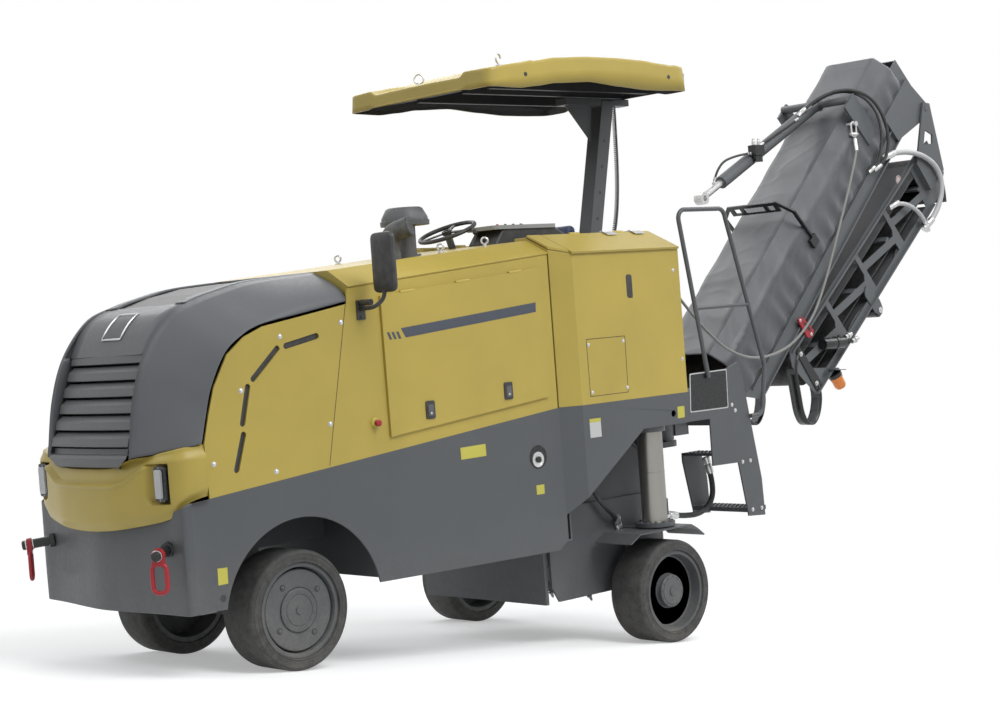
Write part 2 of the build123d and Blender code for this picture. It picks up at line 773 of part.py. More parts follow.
def drum_housing():
    """Chamber over the drum: front wall, roof and upper side walls."""
    front = RECESS["x0"] - SHEET
    housing = block(-2100, front, -642, 442, 0, 1040)
    housing += block(-2100, front, -715, -640, 0, 740)
    roof = rod((DRUM_X, -642, 500), (DRUM_X, 442, 500), 542)
    roof -= rod((DRUM_X, -642, 500), (DRUM_X, 442, 500), 530)
    roof &= block(-3190, -2078, -642, 442, 500, 1050)
    housing += roof
    wall = [(-2080, 250), (-2080, 700), (-2250, 860), (-2500, 1020), (-2800, 1020)]
    wall += [(-3050, 860), (-3186, 640), (-3186, 500), (-2900, 250)]
    lug = [(-3170, 560), (-3170, 700), (-3230, 700), (-3245, 640), (-3215, 600)]
    for y0, y1, out in ((-642, -630, -650), (430, 442, 450)):
        housing += side_prism(wall, y0, y1) + side_prism(lug, y0, y1)
        housing += rod((DRUM_X, y0, DRUM_Z), (DRUM_X, y1, DRUM_Z), 130)
        for x in (-2240, -3060):
            housing += block(x - 20, x + 20, min(y1, out + GUIDE), max(y0, out - GUIDE), 300, 590)
        housing -= rod((DRUM_X, y0 - 5, DRUM_Z), (DRUM_X, y1 + 5, DRUM_Z), 60 + RUN)
        housing -= rod((SCRAPER_PIN[0], y0 - 5, SCRAPER_PIN[1]), (SCRAPER_PIN[0], y1 + 5, SCRAPER_PIN[1]), 22 + RUN)
    return housing


def edge_plate(y):
    """Side plate that rides up and down beside the drum."""
    outline = [(-2170, 10), (-2110, 110), (-2110, 600), (-3150, 600), (-3150, 110), (-3090, 10)]
    return side_prism(outline, y, y + 16)


def pick_holder():
    """One wedge-shaped holder with its pick, standing on the drum's surface at the top."""
    outline = [(-52, -20), (44, -20), (44, 18), (12, 52), (-30, 40)]
    holder = side_prism(outline, -24, 24)
    pick = loft(
        [
            Plane((18, 0, 20), z_dir=(0.72, 0, 0.69)) * RegularPolygon(19, 6),
            Plane((70, 0, 70), z_dir=(0.72, 0, 0.69)) * RegularPolygon(6, 6),
        ]
    )
    return Pos(0, 0, DRUM_TUBE_R) * (holder + pick)


def milling_drum():
    """Drum tube with two spirals of pick holders meeting at the middle."""
    left, right = (DRUM_X, DRUM_LEFT, DRUM_Z), (DRUM_X, DRUM_RIGHT, DRUM_Z)
    drum = tube(right, left, DRUM_TUBE_R, DRUM_TUBE_R - 30)
    for y in (DRUM_RIGHT + 60, DRUM_LEFT - 80):
        drum += rod((DRUM_X, y, DRUM_Z), (DRUM_X, y + 20, DRUM_Z), DRUM_TUBE_R - 20)
    drum += rod((DRUM_X, -642, DRUM_Z), (DRUM_X, 442, DRUM_Z), 60)
    middle = (DRUM_LEFT + DRUM_RIGHT) / 2
    pitch = ((DRUM_LEFT - DRUM_RIGHT) / 2 - 48) / (HOLDERS_PER_SIDE - 1)
    holder = pick_holder()
    for side in (-1, 1):
        for i in range(HOLDERS_PER_SIDE):
            y = middle + side * (24 + pitch * i)
            turn = HOLDER_STEP * i + (180 if side < 0 else 0)
            drum += Pos(DRUM_X, y, DRUM_Z) * Rot(0, turn, 0) * holder
    return drum


def scraper():
    """Rear blade of the chamber, hung from its top edge."""
    blade = block(-3214, -3200, -625, 425, 60, 640)
    blade += block(-3240, -3200, -625, 425, 60, 130)
    x, z = SCRAPER_PIN
    return blade + rod((x, -642, z), (x, 442, z), 22)


# Conveyor


def slew_bracket():
    """Yoke turning on the slew pin and carrying the conveyor's lower pivot."""
    yoke = tube((SLEW_X, 0, 878), (SLEW_X, 0, 1192), 95, 45 + RUN)
    yoke += block(SLEW_X - 200, SLEW_X - 60, -90, 90, 900, 1170)
    yoke += block(SLEW_X - 230, SLEW_X - 190, -345, 345, 960, 1170)
    for side in (-1, 1):
        y0, y1 = sorted((side * 322, side * 345))
        yoke += side_prism([(-3910, 960), (-3910, 1170), (-4060, 1180), (-4110, 1120), (-4060, 1060)], y0, y1)
        yoke += rod((LUFF_PIVOT[0], side * 300, LUFF_PIVOT[2]), (LUFF_PIVOT[0], side * 360, LUFF_PIVOT[2]), 28)
    return yoke


def conveyor_frame():
    """Side rails, cross members, end plates and pivot ears of the lower section."""
    frame = None
    for side in (-1, 1):
        y0, y1 = sorted((side * (CONV_HALF - 8), side * CONV_HALF))
        rail = side_prism([(40, -135), (-CONV_LENGTH, -135), (-CONV_LENGTH, -420), (-3000, -CONV_DEPTH), (-60, -CONV_DEPTH), (40, -430)], y0, y1)
        frame = rail if frame is None else frame + rail
        ear = [(0, -140), (60, -150), (300, -180), (300, -300), (60, -420), (0, -430)]
        frame += side_prism(ear, y0, y1)
        lip = sorted((side * (CONV_HALF - 8), side * (CONV_HALF + 22)))
        for z in (-440, -560):
            frame += block(-2980, -40, *lip, z - 6, z + 6)
    for x in (-60, -900, -1700, -2500, -3100):
        frame += block(x - 25, x + 25, 1 - CONV_HALF, CONV_HALF - 1, -400, -380)
    frame += block(-CONV_LENGTH, -CONV_LENGTH + 10, 1 - CONV_HALF, CONV_HALF - 1, -420, -140)
    frame = on_conveyor(frame + cover_guard()) + fold_plates() + stay_cross_tube()
    for side in (-1, 1):
        y0, y1 = sorted((side * 286, side * 318))
        px, _, pz = LUFF_PIVOT
        frame += rod((px, y0, pz), (px, y1, pz), 60)
        frame -= rod((px, side * 280, pz), (px, side * 325, pz), 28 + RUN)
    return frame


GUARD_X = -1340


def cover_guard():
    """Windowed plate arched over the cover, with a leg on each rail."""
    run = [(-345, -250), (-345, 50), (-235, 160), (235, 160), (345, 50), (345, -250)]
    guard = front_prism(band(run, -32), GUARD_X - 12, GUARD_X)
    guard += block(GUARD_X - 12, GUARD_X, -228, 228, 66, 132)
    for y0, y1 in ((-190, -130), (-95, 95), (130, 190)):
        guard -= block(GUARD_X - 20, GUARD_X + 20, y0, y1, 86, 130)
    for side in (-1, 1):
        foot = sorted((side * CONV_HALF, side * 345))
        guard += block(GUARD_X - 40, GUARD_X + 40, *foot, -300, -220)
    return guard


def conveyor_cover():
    """Tarpaulin hood over the belt, its flaps hanging outside the rails."""
    half = CONV_HALF + 8
    run = [(-half, -126), (-COVER_HALF, 4), (COVER_HALF, 4), (half, -126)]
    flaps = [(-half, -400)] + run + [(half, -400)]
    cover = front_prism(band(run, -6), -3080, -2300) + front_prism(band(flaps, -6), -2350, 30)
    cover -= block(GUARD_X - 50, GUARD_X + 50, -400, 400, -420, -190)
    return on_conveyor(cover)


def conveyor_belt():
    """Carrying and return runs round the end drums."""
    belt = block(-3050, 10, -250, 250, -250, -238)
    belt += block(-3050, 10, -250, 250, -370, -358)
    half = CONV_HALF - 8
    for x in (10, -3050):
        belt += rod((x, -250, -304), (x, 250, -304), 66)
        belt += rod((x, -half, -304), (x, half, -304), 20)
    return on_conveyor(belt)


def tail_frame():
    """Folding upper section: windowed rails, fold ears and end loops."""
    frame = None
    bay = (TAIL_FAR - 500) / TAIL_BAYS
    for side in (-1, 1):
        y0, y1 = sorted((side * (CONV_HALF - 8), side * CONV_HALF))
        outline = [(TAIL_NEAR, TAIL_TOP - 30), (300, TAIL_TOP), (TAIL_FAR, TAIL_TOP)]
        outline += [(TAIL_FAR + 60, -300), (TAIL_FAR, TAIL_BOTTOM), (300, TAIL_BOTTOM), (TAIL_NEAR, -560)]
        rail = side_prism(outline, y0, y1)
        for i in range(TAIL_BAYS):
            x = 470 + bay * i
            window = [(x, TAIL_TOP - 55), (x + bay - 50, TAIL_TOP - 55), (x + bay - 50, TAIL_TOP - 150)]
            window += [(x + 30, TAIL_BOTTOM + 190), (x, TAIL_BOTTOM + 230)]
            rail -= side_prism(window, y0 - 5, y1 + 5)
            window = [(x + bay - 50, TAIL_TOP - 215), (x + bay - 50, TAIL_BOTTOM + 60), (x + 40, TAIL_BOTTOM + 60)]
            window += [(x + 40, TAIL_BOTTOM + 130)]
            rail -= side_prism(window, y0 - 5, y1 + 5)
        frame = rail if frame is None else frame + rail
        lip = sorted((side * (CONV_HALF - 8), side * (CONV_HALF + 26)))
        for z in (TAIL_TOP - 20, TAIL_BOTTOM + 12):
            frame += block(430, TAIL_FAR, *lip, z - 6, z + 6)
        ear = sorted((side * (CONV_HALF - 1), side * 352))
        frame += block(170, 420, ear[0], ear[1], -500, -230)
        plate = sorted((side * 336, side * 352))
        frame += side_prism([(-60, 0), (0, 60), (60, 20), (420, -230), (420, -500), (170, -500)], *plate)
        frame -= side_prism([(140, -110), (240, -180), (140, -250), (90, -200)], *plate)
        frame -= rod((0, side * 320, 0), (0, side * 370, 0), 25 + RUN)
    for x in (480, 1100, 1700, 2300):
        frame += block(x - 25, x + 25, 1 - CONV_HALF, CONV_HALF - 1, -440, -420)
    return on_tail(frame) + tail_guard()


def fold_plates():
    """Hinge plates on the lower section for the folding section."""
    plates = None
    x, _, z = FOLD_HINGE
    for side in (-1, 1):
        y0, y1 = sorted((side * CONV_HALF, side * 330))
        low = side_prism([(-2700, -300), (-3150, -300), (-3210, -640), (-3100, -680), (-2700, -540)], y0, y1)
        piece = on_conveyor(low)
        piece += rod((x, y0, z), (x, side * 356, z), 25)
        plates = piece if plates is None else plates + piece
    return plates


def tail_belt():
    """Belt of the folding section."""
    near, far, z = TAIL_NEAR + 115, TAIL_FAR - 40, -444
    belt = block(near, far, -250, 250, -350, -338)
    belt += block(near, far, -250, 250, -550, -538)
    half = CONV_HALF - 8
    for x in (near, far):
        belt += rod((x, -250, z), (x, 250, z), 106)
        belt += rod((x, -half, z), (x, half, z), 25)
    return on_tail(belt)


def tail_guard():
    """Flat bar loops hung from the free end, one on each rail."""
    run = [(TAIL_FAR - 60, -290), (TAIL_FAR + 60, -330), (TAIL_FAR + 230, -640), (TAIL_FAR + 235, -720)]
    run += [(TAIL_FAR + 180, -770), (TAIL_FAR + 80, -755), (TAIL_FAR - 10, -690), (TAIL_FAR - 60, -600)]
    loop = band(run, -10)
    return on_tail(side_prism(loop, 238, CONV_HALF) + side_prism(loop, -CONV_HALF, -238))


def stay_barrel():
    """Barrel of the stay cylinder, eyed on the cross tube."""
    a, b = Vector(*STAY_TOP), Vector(*STAY_EYE)
    along = (b - a).normalized()
    barrel = rod(tuple(a), tuple(a + along * STAY_BARREL), 48)
    barrel += rod((STAY_TOP[0], -40, STAY_TOP[2]), (STAY_TOP[0], 40, STAY_TOP[2]), 52)
    barrel -= rod(tuple(a + along * 120), tuple(a + along * (STAY_BARREL + 20)), STAY_ROD_R + RUN)
    return barrel - rod((STAY_TOP[0], -60, STAY_TOP[2]), (STAY_TOP[0], 60, STAY_TOP[2]), 30 + RUN)


def stay_rod():
    """Rod of the stay cylinder with its open eye."""
    a, b = Vector(*STAY_TOP), Vector(*STAY_EYE)
    along = (b - a).normalized()
    piece = rod(tuple(a + along * 300), tuple(b - along * 30), STAY_ROD_R)
    piece += rod((STAY_EYE[0], -35, STAY_EYE[2]), (STAY_EYE[0], 35, STAY_EYE[2]), 45)
    return piece - rod((STAY_EYE[0], -60, STAY_EYE[2]), (STAY_EYE[0], 60, STAY_EYE[2]), 20)


def stay_cross_tube():
    """Cross tube and uprights over the cover for the stay cylinder."""
    x, _, z = STAY_TOP
    piece = rod((x, -320, z), (x, 320, z), 30)
    upright = block(-2560, -2400, 310, 330, -300, 100) + block(-2560, -2400, 299, 330, -300, -150)
    lower = on_conveyor(upright)
    lower += other_side(lower)
    return piece + lower


# Steps and rails

STEP_PLATE = [
    (REAR_X, SILL_Z),
    (-3660, 1410),
    (-3700, 1310),
    (-3750, 1034),
    (-3830, 610),
    (-3840, 358),
    (-3670, 371),
    (-3600, 740),
    (-3340, 745),
    (-3340, 1057),
    (REAR_X, 1057),
]


def step_unit():
    """Left steps: outer plate, inner hanger and treads."""
    steps = side_prism(STEP_PLATE, 788, 800)
    inner = [(-3780, 800), (-3830, 610), (-3840, 358), (-3670, 371), (-3590, 740), (-3590, 800)]
    steps += side_prism(inner, 300, 312)
    steps += block(-3850, -3670, 300, 800, 395, 425)
    steps += block(-3760, -3600, 300, 800, 780, 800)
    steps += block(-3700, REAR_X, 300, 800, 1228, 1240)
    return steps


def handrail():
    """Left rail hoop with its middle bar."""
    y = CABINET_Y + 15
    hoop = bent_bar([(-3338, y, 1330), (-3140, y, 2440), (-3600, y, 2440), (-3920, y, 1370), (-3860, y, 1040), (-3740, y, 1040)], 15, 60)
    return hoop + rod((-3256, y, 1790), (-3795, y, 1790), 12)


def build():
    """Every node's shape by name, body pieces already tipped."""
    rear = -WHEELBASE
    hub = WHEEL_R - LEG_EXTENSION
    left_edge, right_edge = 450, -668
    recess_head = block(-2076, -2000, -735, -354, 1200, 1279)
    body = {
        "main_frame": main_frame(),
        "front_bumper": front_bumper(),
        "headlight_left": headlight(1),
        "headlight_right": headlight(-1),
        "front_grille": front_grille(),
        "hood": hood(),
        "hood_mesh": hood_mesh(),
        "side_panel_left": side_panel(),
        "side_panel_right": other_side(side_panel()) - block(-2060, -1450, -740, -700, 1100, 1270),
        "side_door_left": side_door(),
        "side_door_right": other_side(side_door()),
        "top_deck": top_deck(),
        "engine_block": engine_block(),
        "rear_cabinet_left": rear_cabinet(),
        "rear_cabinet_right": other_side(rear_cabinet()) - recess_head,
        "cabinet_lid_left": cabinet_lid(),
        "cabinet_lid_right": other_side(cabinet_lid()),
        "operator_platform": platform() - recess_head,
        "console": console(),
        "steering_wheel": steering_wheel(),
        "seat": seat(),
        "air_cleaner": air_cleaner(),
        "exhaust_pipe": exhaust_pipe(),
        "mirror_left": mirror_left(),
        "canopy_roof": canopy_roof(),
        "canopy_post": canopy_post(),
        "leg_left": leg(LEFT_LEG_Y, -1, 1450, LEFT_FENDER[::-1]),
        "leg_right": leg(RIGHT_LEG_Y, 1, 900, RIGHT_FENDER[::-1]),
        "swing_arm_right": swing_arm(),
        "tyre_rear_left": Pos(rear, 0, hub) * tyre(LEFT_LEG_Y),
        "rim_rear_left": Pos(rear, 0, hub) * rim(LEFT_LEG_Y, 1),
        "tyre_rear_right": Pos(rear, 0, hub) * tyre(RIGHT_LEG_Y),
        "rim_rear_right": Pos(rear, 0, hub) * rim(RIGHT_LEG_Y, -1),
        "drum_housing": drum_housing(),
        "edge_plate_left": edge_plate(left_edge),
        "edge_plate_right": edge_plate(right_edge),
        "milling_drum": milling_drum(),
        "scraper": scraper(),
        "slew_bracket": slew_bracket(),
        "conveyor_frame": conveyor_frame(),
        "conveyor_cover": conveyor_cover(),
        "conveyor_belt": conveyor_belt(),
        "tail_frame": tail_frame(),
        "tail_belt": tail_belt(),
        "stay_barrel": stay_barrel(),
        "stay_rod": stay_rod(),
        "steps_left": step_unit(),
        "steps_right": other_side(step_unit()),
        "handrail_left": handrail(),
        "handrail_right": other_side(handrail()),
    }
    shapes = {name: stand(shape) for name, shape in body.items()}
    shapes["front_axle"] = front_axle()
    for name, side in (("left", 1), ("right", -1)):
        y = side * FRONT_TRACK_HALF
        shapes["knuckle_" + name] = knuckle(side)
        shapes["tyre_front_" + name] = Pos(0, 0, WHEEL_R) * tyre(y)
        shapes["rim_front_" + name] = Pos(0, 0, WHEEL_R) * rim(y, side)
    return shapes


def middle(shapes):
    """Shift that puts the origin under the middle of everything."""
    boxes = [shape.bounding_box() for shape in shapes.values()]
    x = (min(b.min.X for b in boxes) + max(b.max.X for b in boxes)) / 2
    y = (min(b.min.Y for b in boxes) + max(b.max.Y for b in boxes)) / 2
    return -x, -y


def main():
    """Write every node's STEP file."""
    shapes = build()
    dx, dy = middle(shapes)
    os.makedirs("parts", exist_ok=True)
    for name, shape in shapes.items():
        export_step(Pos(dx, dy, 0) * shape, "parts/" + name + ".step")


if __name__ == "__main__":
    main()
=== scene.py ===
"""Finish and fittings of a compact cold planer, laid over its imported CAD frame."""

import json
import math

import bmesh
import bpy
from mathutils import Matrix, Vector, noise


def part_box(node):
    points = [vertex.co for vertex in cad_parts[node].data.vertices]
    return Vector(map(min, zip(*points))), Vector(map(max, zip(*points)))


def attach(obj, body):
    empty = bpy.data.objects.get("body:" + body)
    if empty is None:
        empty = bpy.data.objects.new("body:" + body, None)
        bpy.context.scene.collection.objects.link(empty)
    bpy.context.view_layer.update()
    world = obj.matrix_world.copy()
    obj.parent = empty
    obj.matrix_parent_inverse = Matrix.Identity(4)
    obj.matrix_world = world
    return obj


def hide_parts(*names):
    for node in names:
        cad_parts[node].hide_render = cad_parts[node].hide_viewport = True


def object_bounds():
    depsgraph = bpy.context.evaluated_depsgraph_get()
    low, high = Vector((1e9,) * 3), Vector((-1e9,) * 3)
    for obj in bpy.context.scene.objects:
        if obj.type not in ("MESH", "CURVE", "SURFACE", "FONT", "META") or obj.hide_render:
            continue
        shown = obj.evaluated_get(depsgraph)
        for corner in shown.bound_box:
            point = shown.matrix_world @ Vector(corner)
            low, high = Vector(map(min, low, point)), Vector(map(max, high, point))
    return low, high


bl_info = {
    "name": "Cold Planer Finish",
    "version": (1, 0, 0),
    "blender": (4, 5, 0),
    "location": "View3D > Sidebar > Planer",
    "description": "Paints and fits out the packed frame of a compact cold planer",
    "category": "Object",
}

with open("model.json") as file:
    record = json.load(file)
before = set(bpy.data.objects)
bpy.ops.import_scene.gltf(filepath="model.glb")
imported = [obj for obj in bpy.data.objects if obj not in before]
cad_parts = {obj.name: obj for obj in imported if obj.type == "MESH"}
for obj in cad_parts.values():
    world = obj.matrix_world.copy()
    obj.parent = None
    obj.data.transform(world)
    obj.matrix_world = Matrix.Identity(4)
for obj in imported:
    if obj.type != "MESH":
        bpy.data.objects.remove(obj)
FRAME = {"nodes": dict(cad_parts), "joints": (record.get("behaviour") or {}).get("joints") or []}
NODES = FRAME["nodes"]
CAD_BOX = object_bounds()
JOINTS = {joint["name"]: joint for joint in FRAME["joints"]}


# The machine's own level frame, tipped with its body


def machine_frame():
    """Matrix from the machine's level frame to the row frame, and the left front hub."""
    low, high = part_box("tyre_front_left")
    right_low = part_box("tyre_front_right")[0]
    radius = (high.z - low.z) / 2
    hub = Vector(((low.x + high.x) / 2, (right_low.y + high.y) / 2, low.z + radius))
    up = Vector(JOINTS["left_leg_lift"]["axis"])
    forward = Vector((up.z, 0, -up.x))
    side = Vector((0, 1, 0))
    base = Matrix((forward, side, up)).transposed().to_4x4()
    base.translation = hub - up * radius
    return base, hub


BODY, FRONT_HUB = machine_frame()
CONVEYOR = BODY @ Matrix.Translation((-4.05, 0, 1.46)) @ Matrix.Rotation(math.radians(44.5), 4, "Y")
TAIL = BODY @ Matrix.Translation((-6.732, 0, 3.226)) @ Matrix.Rotation(math.radians(39.5), 4, "Y")
REAR_AXLE = -2.878
# Faces of the body's side, the doors and the rear cabinets, from the middle plane
SKIN = 0.73
DOOR = 0.7455
CABINET = 0.8
# How far bolts and caps sit into the sheet that carries them
SUNK = 0.0005
LEFT_LEG_Y = 0.674
RIGHT_LEG_Y = -1.2
SKIRT_LOW = 0.42
POST_FOOT = 1.426
FLOOR_REACH = 60
# Edges that turn by more than this stay sharp or get their rounding
SHARP = math.radians(32)
SIDES = (("left", 1), ("right", -1))


# Mesh building


def solid(bm, points, depth, slot=0):
    """Straight solid from a flat outline, drawn out along the vector depth."""
    near = [bm.verts.new(p) for p in points]
    far = [bm.verts.new(Vector(p) + Vector(depth)) for p in points]
    faces = [bm.faces.new(near), bm.faces.new(far[::-1])]
    for i in range(len(points)):
        faces.append(bm.faces.new((near[i - 1], near[i], far[i], far[i - 1])))
    for face in faces:
        face.material_index = slot
    return near + far


def box(bm, low, high, slot=0):
    """Rectangular solid given by two corners."""
    (x0, y0, z0), (x1, y1, z1) = low, high
    outline = [(x0, y0, z0), (x1, y0, z0), (x1, y1, z0), (x0, y1, z0)]
    return solid(bm, outline, (0, 0, z1 - z0), slot)


def side_plate(bm, outline, y0, y1, slot=0):
    """Plate across the machine from an (x, z) outline."""
    return solid(bm, [(x, y0, z) for x, z in outline], (0, y1 - y0, 0), slot)


def rounded(corners, radius, steps=4):
    """Flat outline with its corners rounded, as (a, b) pairs."""
    result = []
    count = len(corners)
    for i, corner in enumerate(corners):
        here = Vector(corner)
        before = (Vector(corners[i - 1]) - here).normalized()
        after = (Vector(corners[(i + 1) % count]) - here).normalized()
        cut = min(radius, (Vector(corners[i - 1]) - here).length / 2.1)
        cut = min(cut, (Vector(corners[(i + 1) % count]) - here).length / 2.1)
        start, end = here + before * cut, here + after * cut
        for k in range(steps + 1):
            t = k / steps
            point = start.lerp(here, t).lerp(here.lerp(end, t), t)
            result.append((point.x, point.y))
    return result


def oblong(a0, b0, a1, b1, radius, steps=4):
    """Flat outline of a rectangle with rounded corners."""
    return rounded([(a0, b0), (a1, b0), (a1, b1), (a0, b1)], radius, steps)


def round_ring(centre, along, side, radius, steps):
    """Points round a line through a centre, starting from its side direction."""
    other = along.cross(side)
    turns = [2 * math.pi * k / steps for k in range(steps)]
    return [centre + (side * math.cos(a) + other * math.sin(a)) * radius for a in turns]


def skin_rings(bm, rings, slot=0, closed=False, smooth=True):
    """Faces round a run of closed rings of points, with its ends filled; a ring may be one point."""
    made = [[bm.verts.new(p) for p in ring] for ring in rings]
    pairs = list(zip(made, made[1:])) + ([(made[-1], made[0])] if closed else [])
    faces = []
    for a, b in pairs:
        for k in range(max(len(a), len(b))):
            corners = [a[k - 1], a[k]] if len(a) > 1 else a[:]
            faces.append(bm.faces.new(corners + ([b[k], b[k - 1]] if len(b) > 1 else b)))
    if not closed:
        faces += [bm.faces.new(ring) for ring in (made[0], made[-1]) if len(ring) > 1]
    for face in faces:
        face.material_index = slot
        face.smooth = smooth


def turned(bm, start, axis, profile, steps=24, slot=0):
    """Solid of revolution from (distance along the axis, radius) pairs."""
    axis = Vector(axis).normalized()
    side = axis.orthogonal().normalized()
    rings = []
    for along, radius in profile:
        centre = Vector(start) + axis * along
        rings.append(round_ring(centre, axis, side, radius, steps) if radius > 1e-6 else [centre])
    skin_rings(bm, rings, slot)


def round_plate(bm, at, out, radius, thick, steps, slot=0):
    """Flat round plate standing on a surface."""
    turned(bm, at, out, [(0, radius), (thick, radius), (thick, 0)], steps, slot)


def bar(bm, points, radius, steps=10, slot=0, closed=False):
    """Round bar or pipe swept along points."""
    path = [Vector(p) for p in points]
    count = len(path)
    side = None
    rings = []
    for i, point in enumerate(path):
        if closed:
            along = (path[(i + 1) % count] - path[i - 1]).normalized()
        else:
            along = (path[min(i + 1, count - 1)] - path[max(i - 1, 0)]).normalized()
        side = along.orthogonal() if side is None else side - along * side.dot(along)
        side.normalize()
        rings.append(round_ring(point, along, side, radius, steps))
    skin_rings(bm, rings, slot, closed)


def bend(points, radius, steps=6):
    """Points of a run with each inner corner swung round."""
    path = [Vector(p) for p in points]
    result = [path[0]]
    for before, corner, after in zip(path, path[1:], path[2:]):
        start = corner + (before - corner).normalized() * min(radius, (before - corner).length / 2.1)
        end = corner + (after - corner).normalized() * min(radius, (after - corner).length / 2.1)
        for k in range(steps + 1):
            t = k / steps
            result.append(start.lerp(corner, t).lerp(corner.lerp(end, t), t))
    return result + [path[-1]]


def grid(bm, rows, slot=0):
    """Faces between rows of points."""
    made = [[bm.verts.new(p) for p in row] for row in rows]
    for a, b in zip(made, made[1:]):
        for k in range(len(a) - 1):
            face = bm.faces.new((a[k], a[k + 1], b[k + 1], b[k]))
            face.material_index = slot
    return made


def ring_points(centre, axis, radius, count=48):
    """Points round a circle."""
    axis = Vector(axis).normalized()
    return round_ring(Vector(centre), axis, axis.orthogonal().normalized(), radius, count)


def bolt(bm, at, out, radius=0.009, slot=0):
    """Domed bolt on its washer."""
    profile = [(0, radius * 1.6), (radius * 0.25, radius * 1.6), (radius * 0.25, radius)]
    profile += [(radius * 0.8, radius * 0.95), (radius * 1.1, radius * 0.5), (radius * 1.15, 0)]
    turned(bm, at, out, profile, 10, slot)


def smooth_between(values, at):
    """Value on a smooth run through equally spaced values, by its index."""
    count = len(values)
    index = min(int(at), count - 2)
    t = at - index
    before = values[max(index - 1, 0)]
    here, there = values[index], values[index + 1]
    after = values[min(index + 2, count - 1)]
    out = []
    for a, b, c, d in zip(before, here, there, after):
        bent = (2 * a - 5 * b + 4 * c - d) * t * t + (3 * b - a - 3 * c + d) * t * t * t
        out.append(0.5 * (2 * b + (c - a) * t + bent))
    return out


def ease(value, low, high):
    """Smooth step from low to high."""
    t = min(max((value - low) / (high - low), 0.0), 1.0)
    return t * t * (3 - 2 * t)


def placed(name, data):
    """Object of some data, linked into the scene."""
    made = bpy.data.objects.new(name, data)
    bpy.context.scene.collection.objects.link(made)
    return made


def piece(name, bm, finishes, edge=0.0, body="chassis", place=BODY):
    """Object from a mesh drawn in one of the machine's frames, riding on a CAD body."""
    bmesh.ops.recalc_face_normals(bm, faces=bm.faces)
    bm.transform(place)
    mesh = bpy.data.meshes.new(name)
    bm.to_mesh(mesh)
    bm.free()
    mesh.shade_smooth()
    mesh.set_sharp_from_angle(angle=SHARP)
    for finish in finishes.split(", "):
        mesh.materials.append(bpy.data.materials[finish])
    result = placed(name, mesh)
    if edge:
        soften(result, edge)
    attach(result, body)
    return result


def soften(thing, width):
    """Rounded edges, kept live as a modifier."""
    rounding = thing.modifiers.new("rounded edges", "BEVEL")
    rounding.width = width
    rounding.segments = 2
    rounding.limit_method = "ANGLE"
    rounding.angle_limit = SHARP
    rounding.harden_normals = True
    rounding.use_clamp_overlap = True


def thicken(thing, depth):
    """Wall thickness behind the outer face, kept live as a modifier."""
    wall = thing.modifiers.new("wall", "SOLIDIFY")
    wall.thickness = depth
    wall.offset = -1
    wall.use_even_offset = False


# Shader groups

MID_GREY = (0.5, 0.5, 0.5, 1)


def new_group(name, outputs, **inputs):
    """Empty shader group, with its own node tree and the sockets at both ends."""
    group = bpy.data.node_groups.new(name, "ShaderNodeTree")
    for label, value in inputs.items():
        kind = "NodeSocketColor" if isinstance(value, tuple) else "NodeSocketFloat"
        made = group.interface.new_socket(label.replace("_", " "), in_out="INPUT", socket_type=kind)
        made.default_value = value
    for label in outputs.split():
        kind = "NodeSocketColor" if label == "Colour" else "NodeSocketFloat"
        group.interface.new_socket(label, in_out="OUTPUT", socket_type=kind)
    return group, group.nodes.new("NodeGroupInput").outputs, group.nodes.new("NodeGroupOutput").inputs


def feed(tree, sockets, **values):
    """Sockets given a link or a plain value, by name."""
    for key, value in values.items():
        put(tree, sockets[key.replace("_", " ")], value)


def put(tree, socket, value):
    """One input given a link from another socket or a plain value."""
    if isinstance(value, bpy.types.NodeSocket):
        tree.links.new(value, socket)
    else:
        socket.default_value = value


def node(tree, kind, **values):
    """Node with its settings and unlinked inputs set by name."""
    made = tree.nodes.new(kind)
    for key, value in values.items():
        label = key.replace("_", " ")
        if hasattr(made, key) and label not in made.inputs:
            setattr(made, key, value)
        else:
            made.inputs[label].default_value = value
    return made


def maths(tree, operation, first, second=0.5, clamp=False):
    """Math node fed by sockets or numbers, giving its output socket."""
    made = node(tree, "ShaderNodeMath", operation=operation, use_clamp=clamp)
    put(tree, made.inputs[0], first)
    put(tree, made.inputs[1], second)
    return made.outputs[0]


def product(tree, first, second, clamp=False):
    """Two values multiplied."""
    return maths(tree, "MULTIPLY", first, second, clamp)


def blend_colour(tree, share, first, second):
    """Colour mix fed by sockets or colours, giving its output socket."""
    made = node(tree, "ShaderNodeMix", data_type="RGBA")
    for index, value in ((0, share), (6, first), (7, second)):
        put(tree, made.inputs[index], value)
    return made.outputs[2]


def spread(tree, value, low, high):
    """Value remapped from low..high to 0..1."""
    made = tree.nodes.new("ShaderNodeMapRange")
    feed(tree, made.inputs, Value=value, From_Min=low, From_Max=high)
    return made.outputs["Result"]


def grain(tree, scale, detail, rough=0.6, distortion=0.0, stretch=None):
    """Noise over the object's own coordinates, giving its value socket."""
    place = tree.nodes.new("ShaderNodeTexCoord").outputs["Object"]
    if stretch:
        mapping = node(tree, "ShaderNodeMapping", Scale=stretch)
        put(tree, mapping.inputs["Vector"], place)
        place = mapping.outputs["Vector"]
    made = node(tree, "ShaderNodeTexNoise", Detail=detail, Roughness=rough, Distortion=distortion)
    feed(tree, made.inputs, Scale=scale, Vector=place)
    return made.outputs["Fac"]


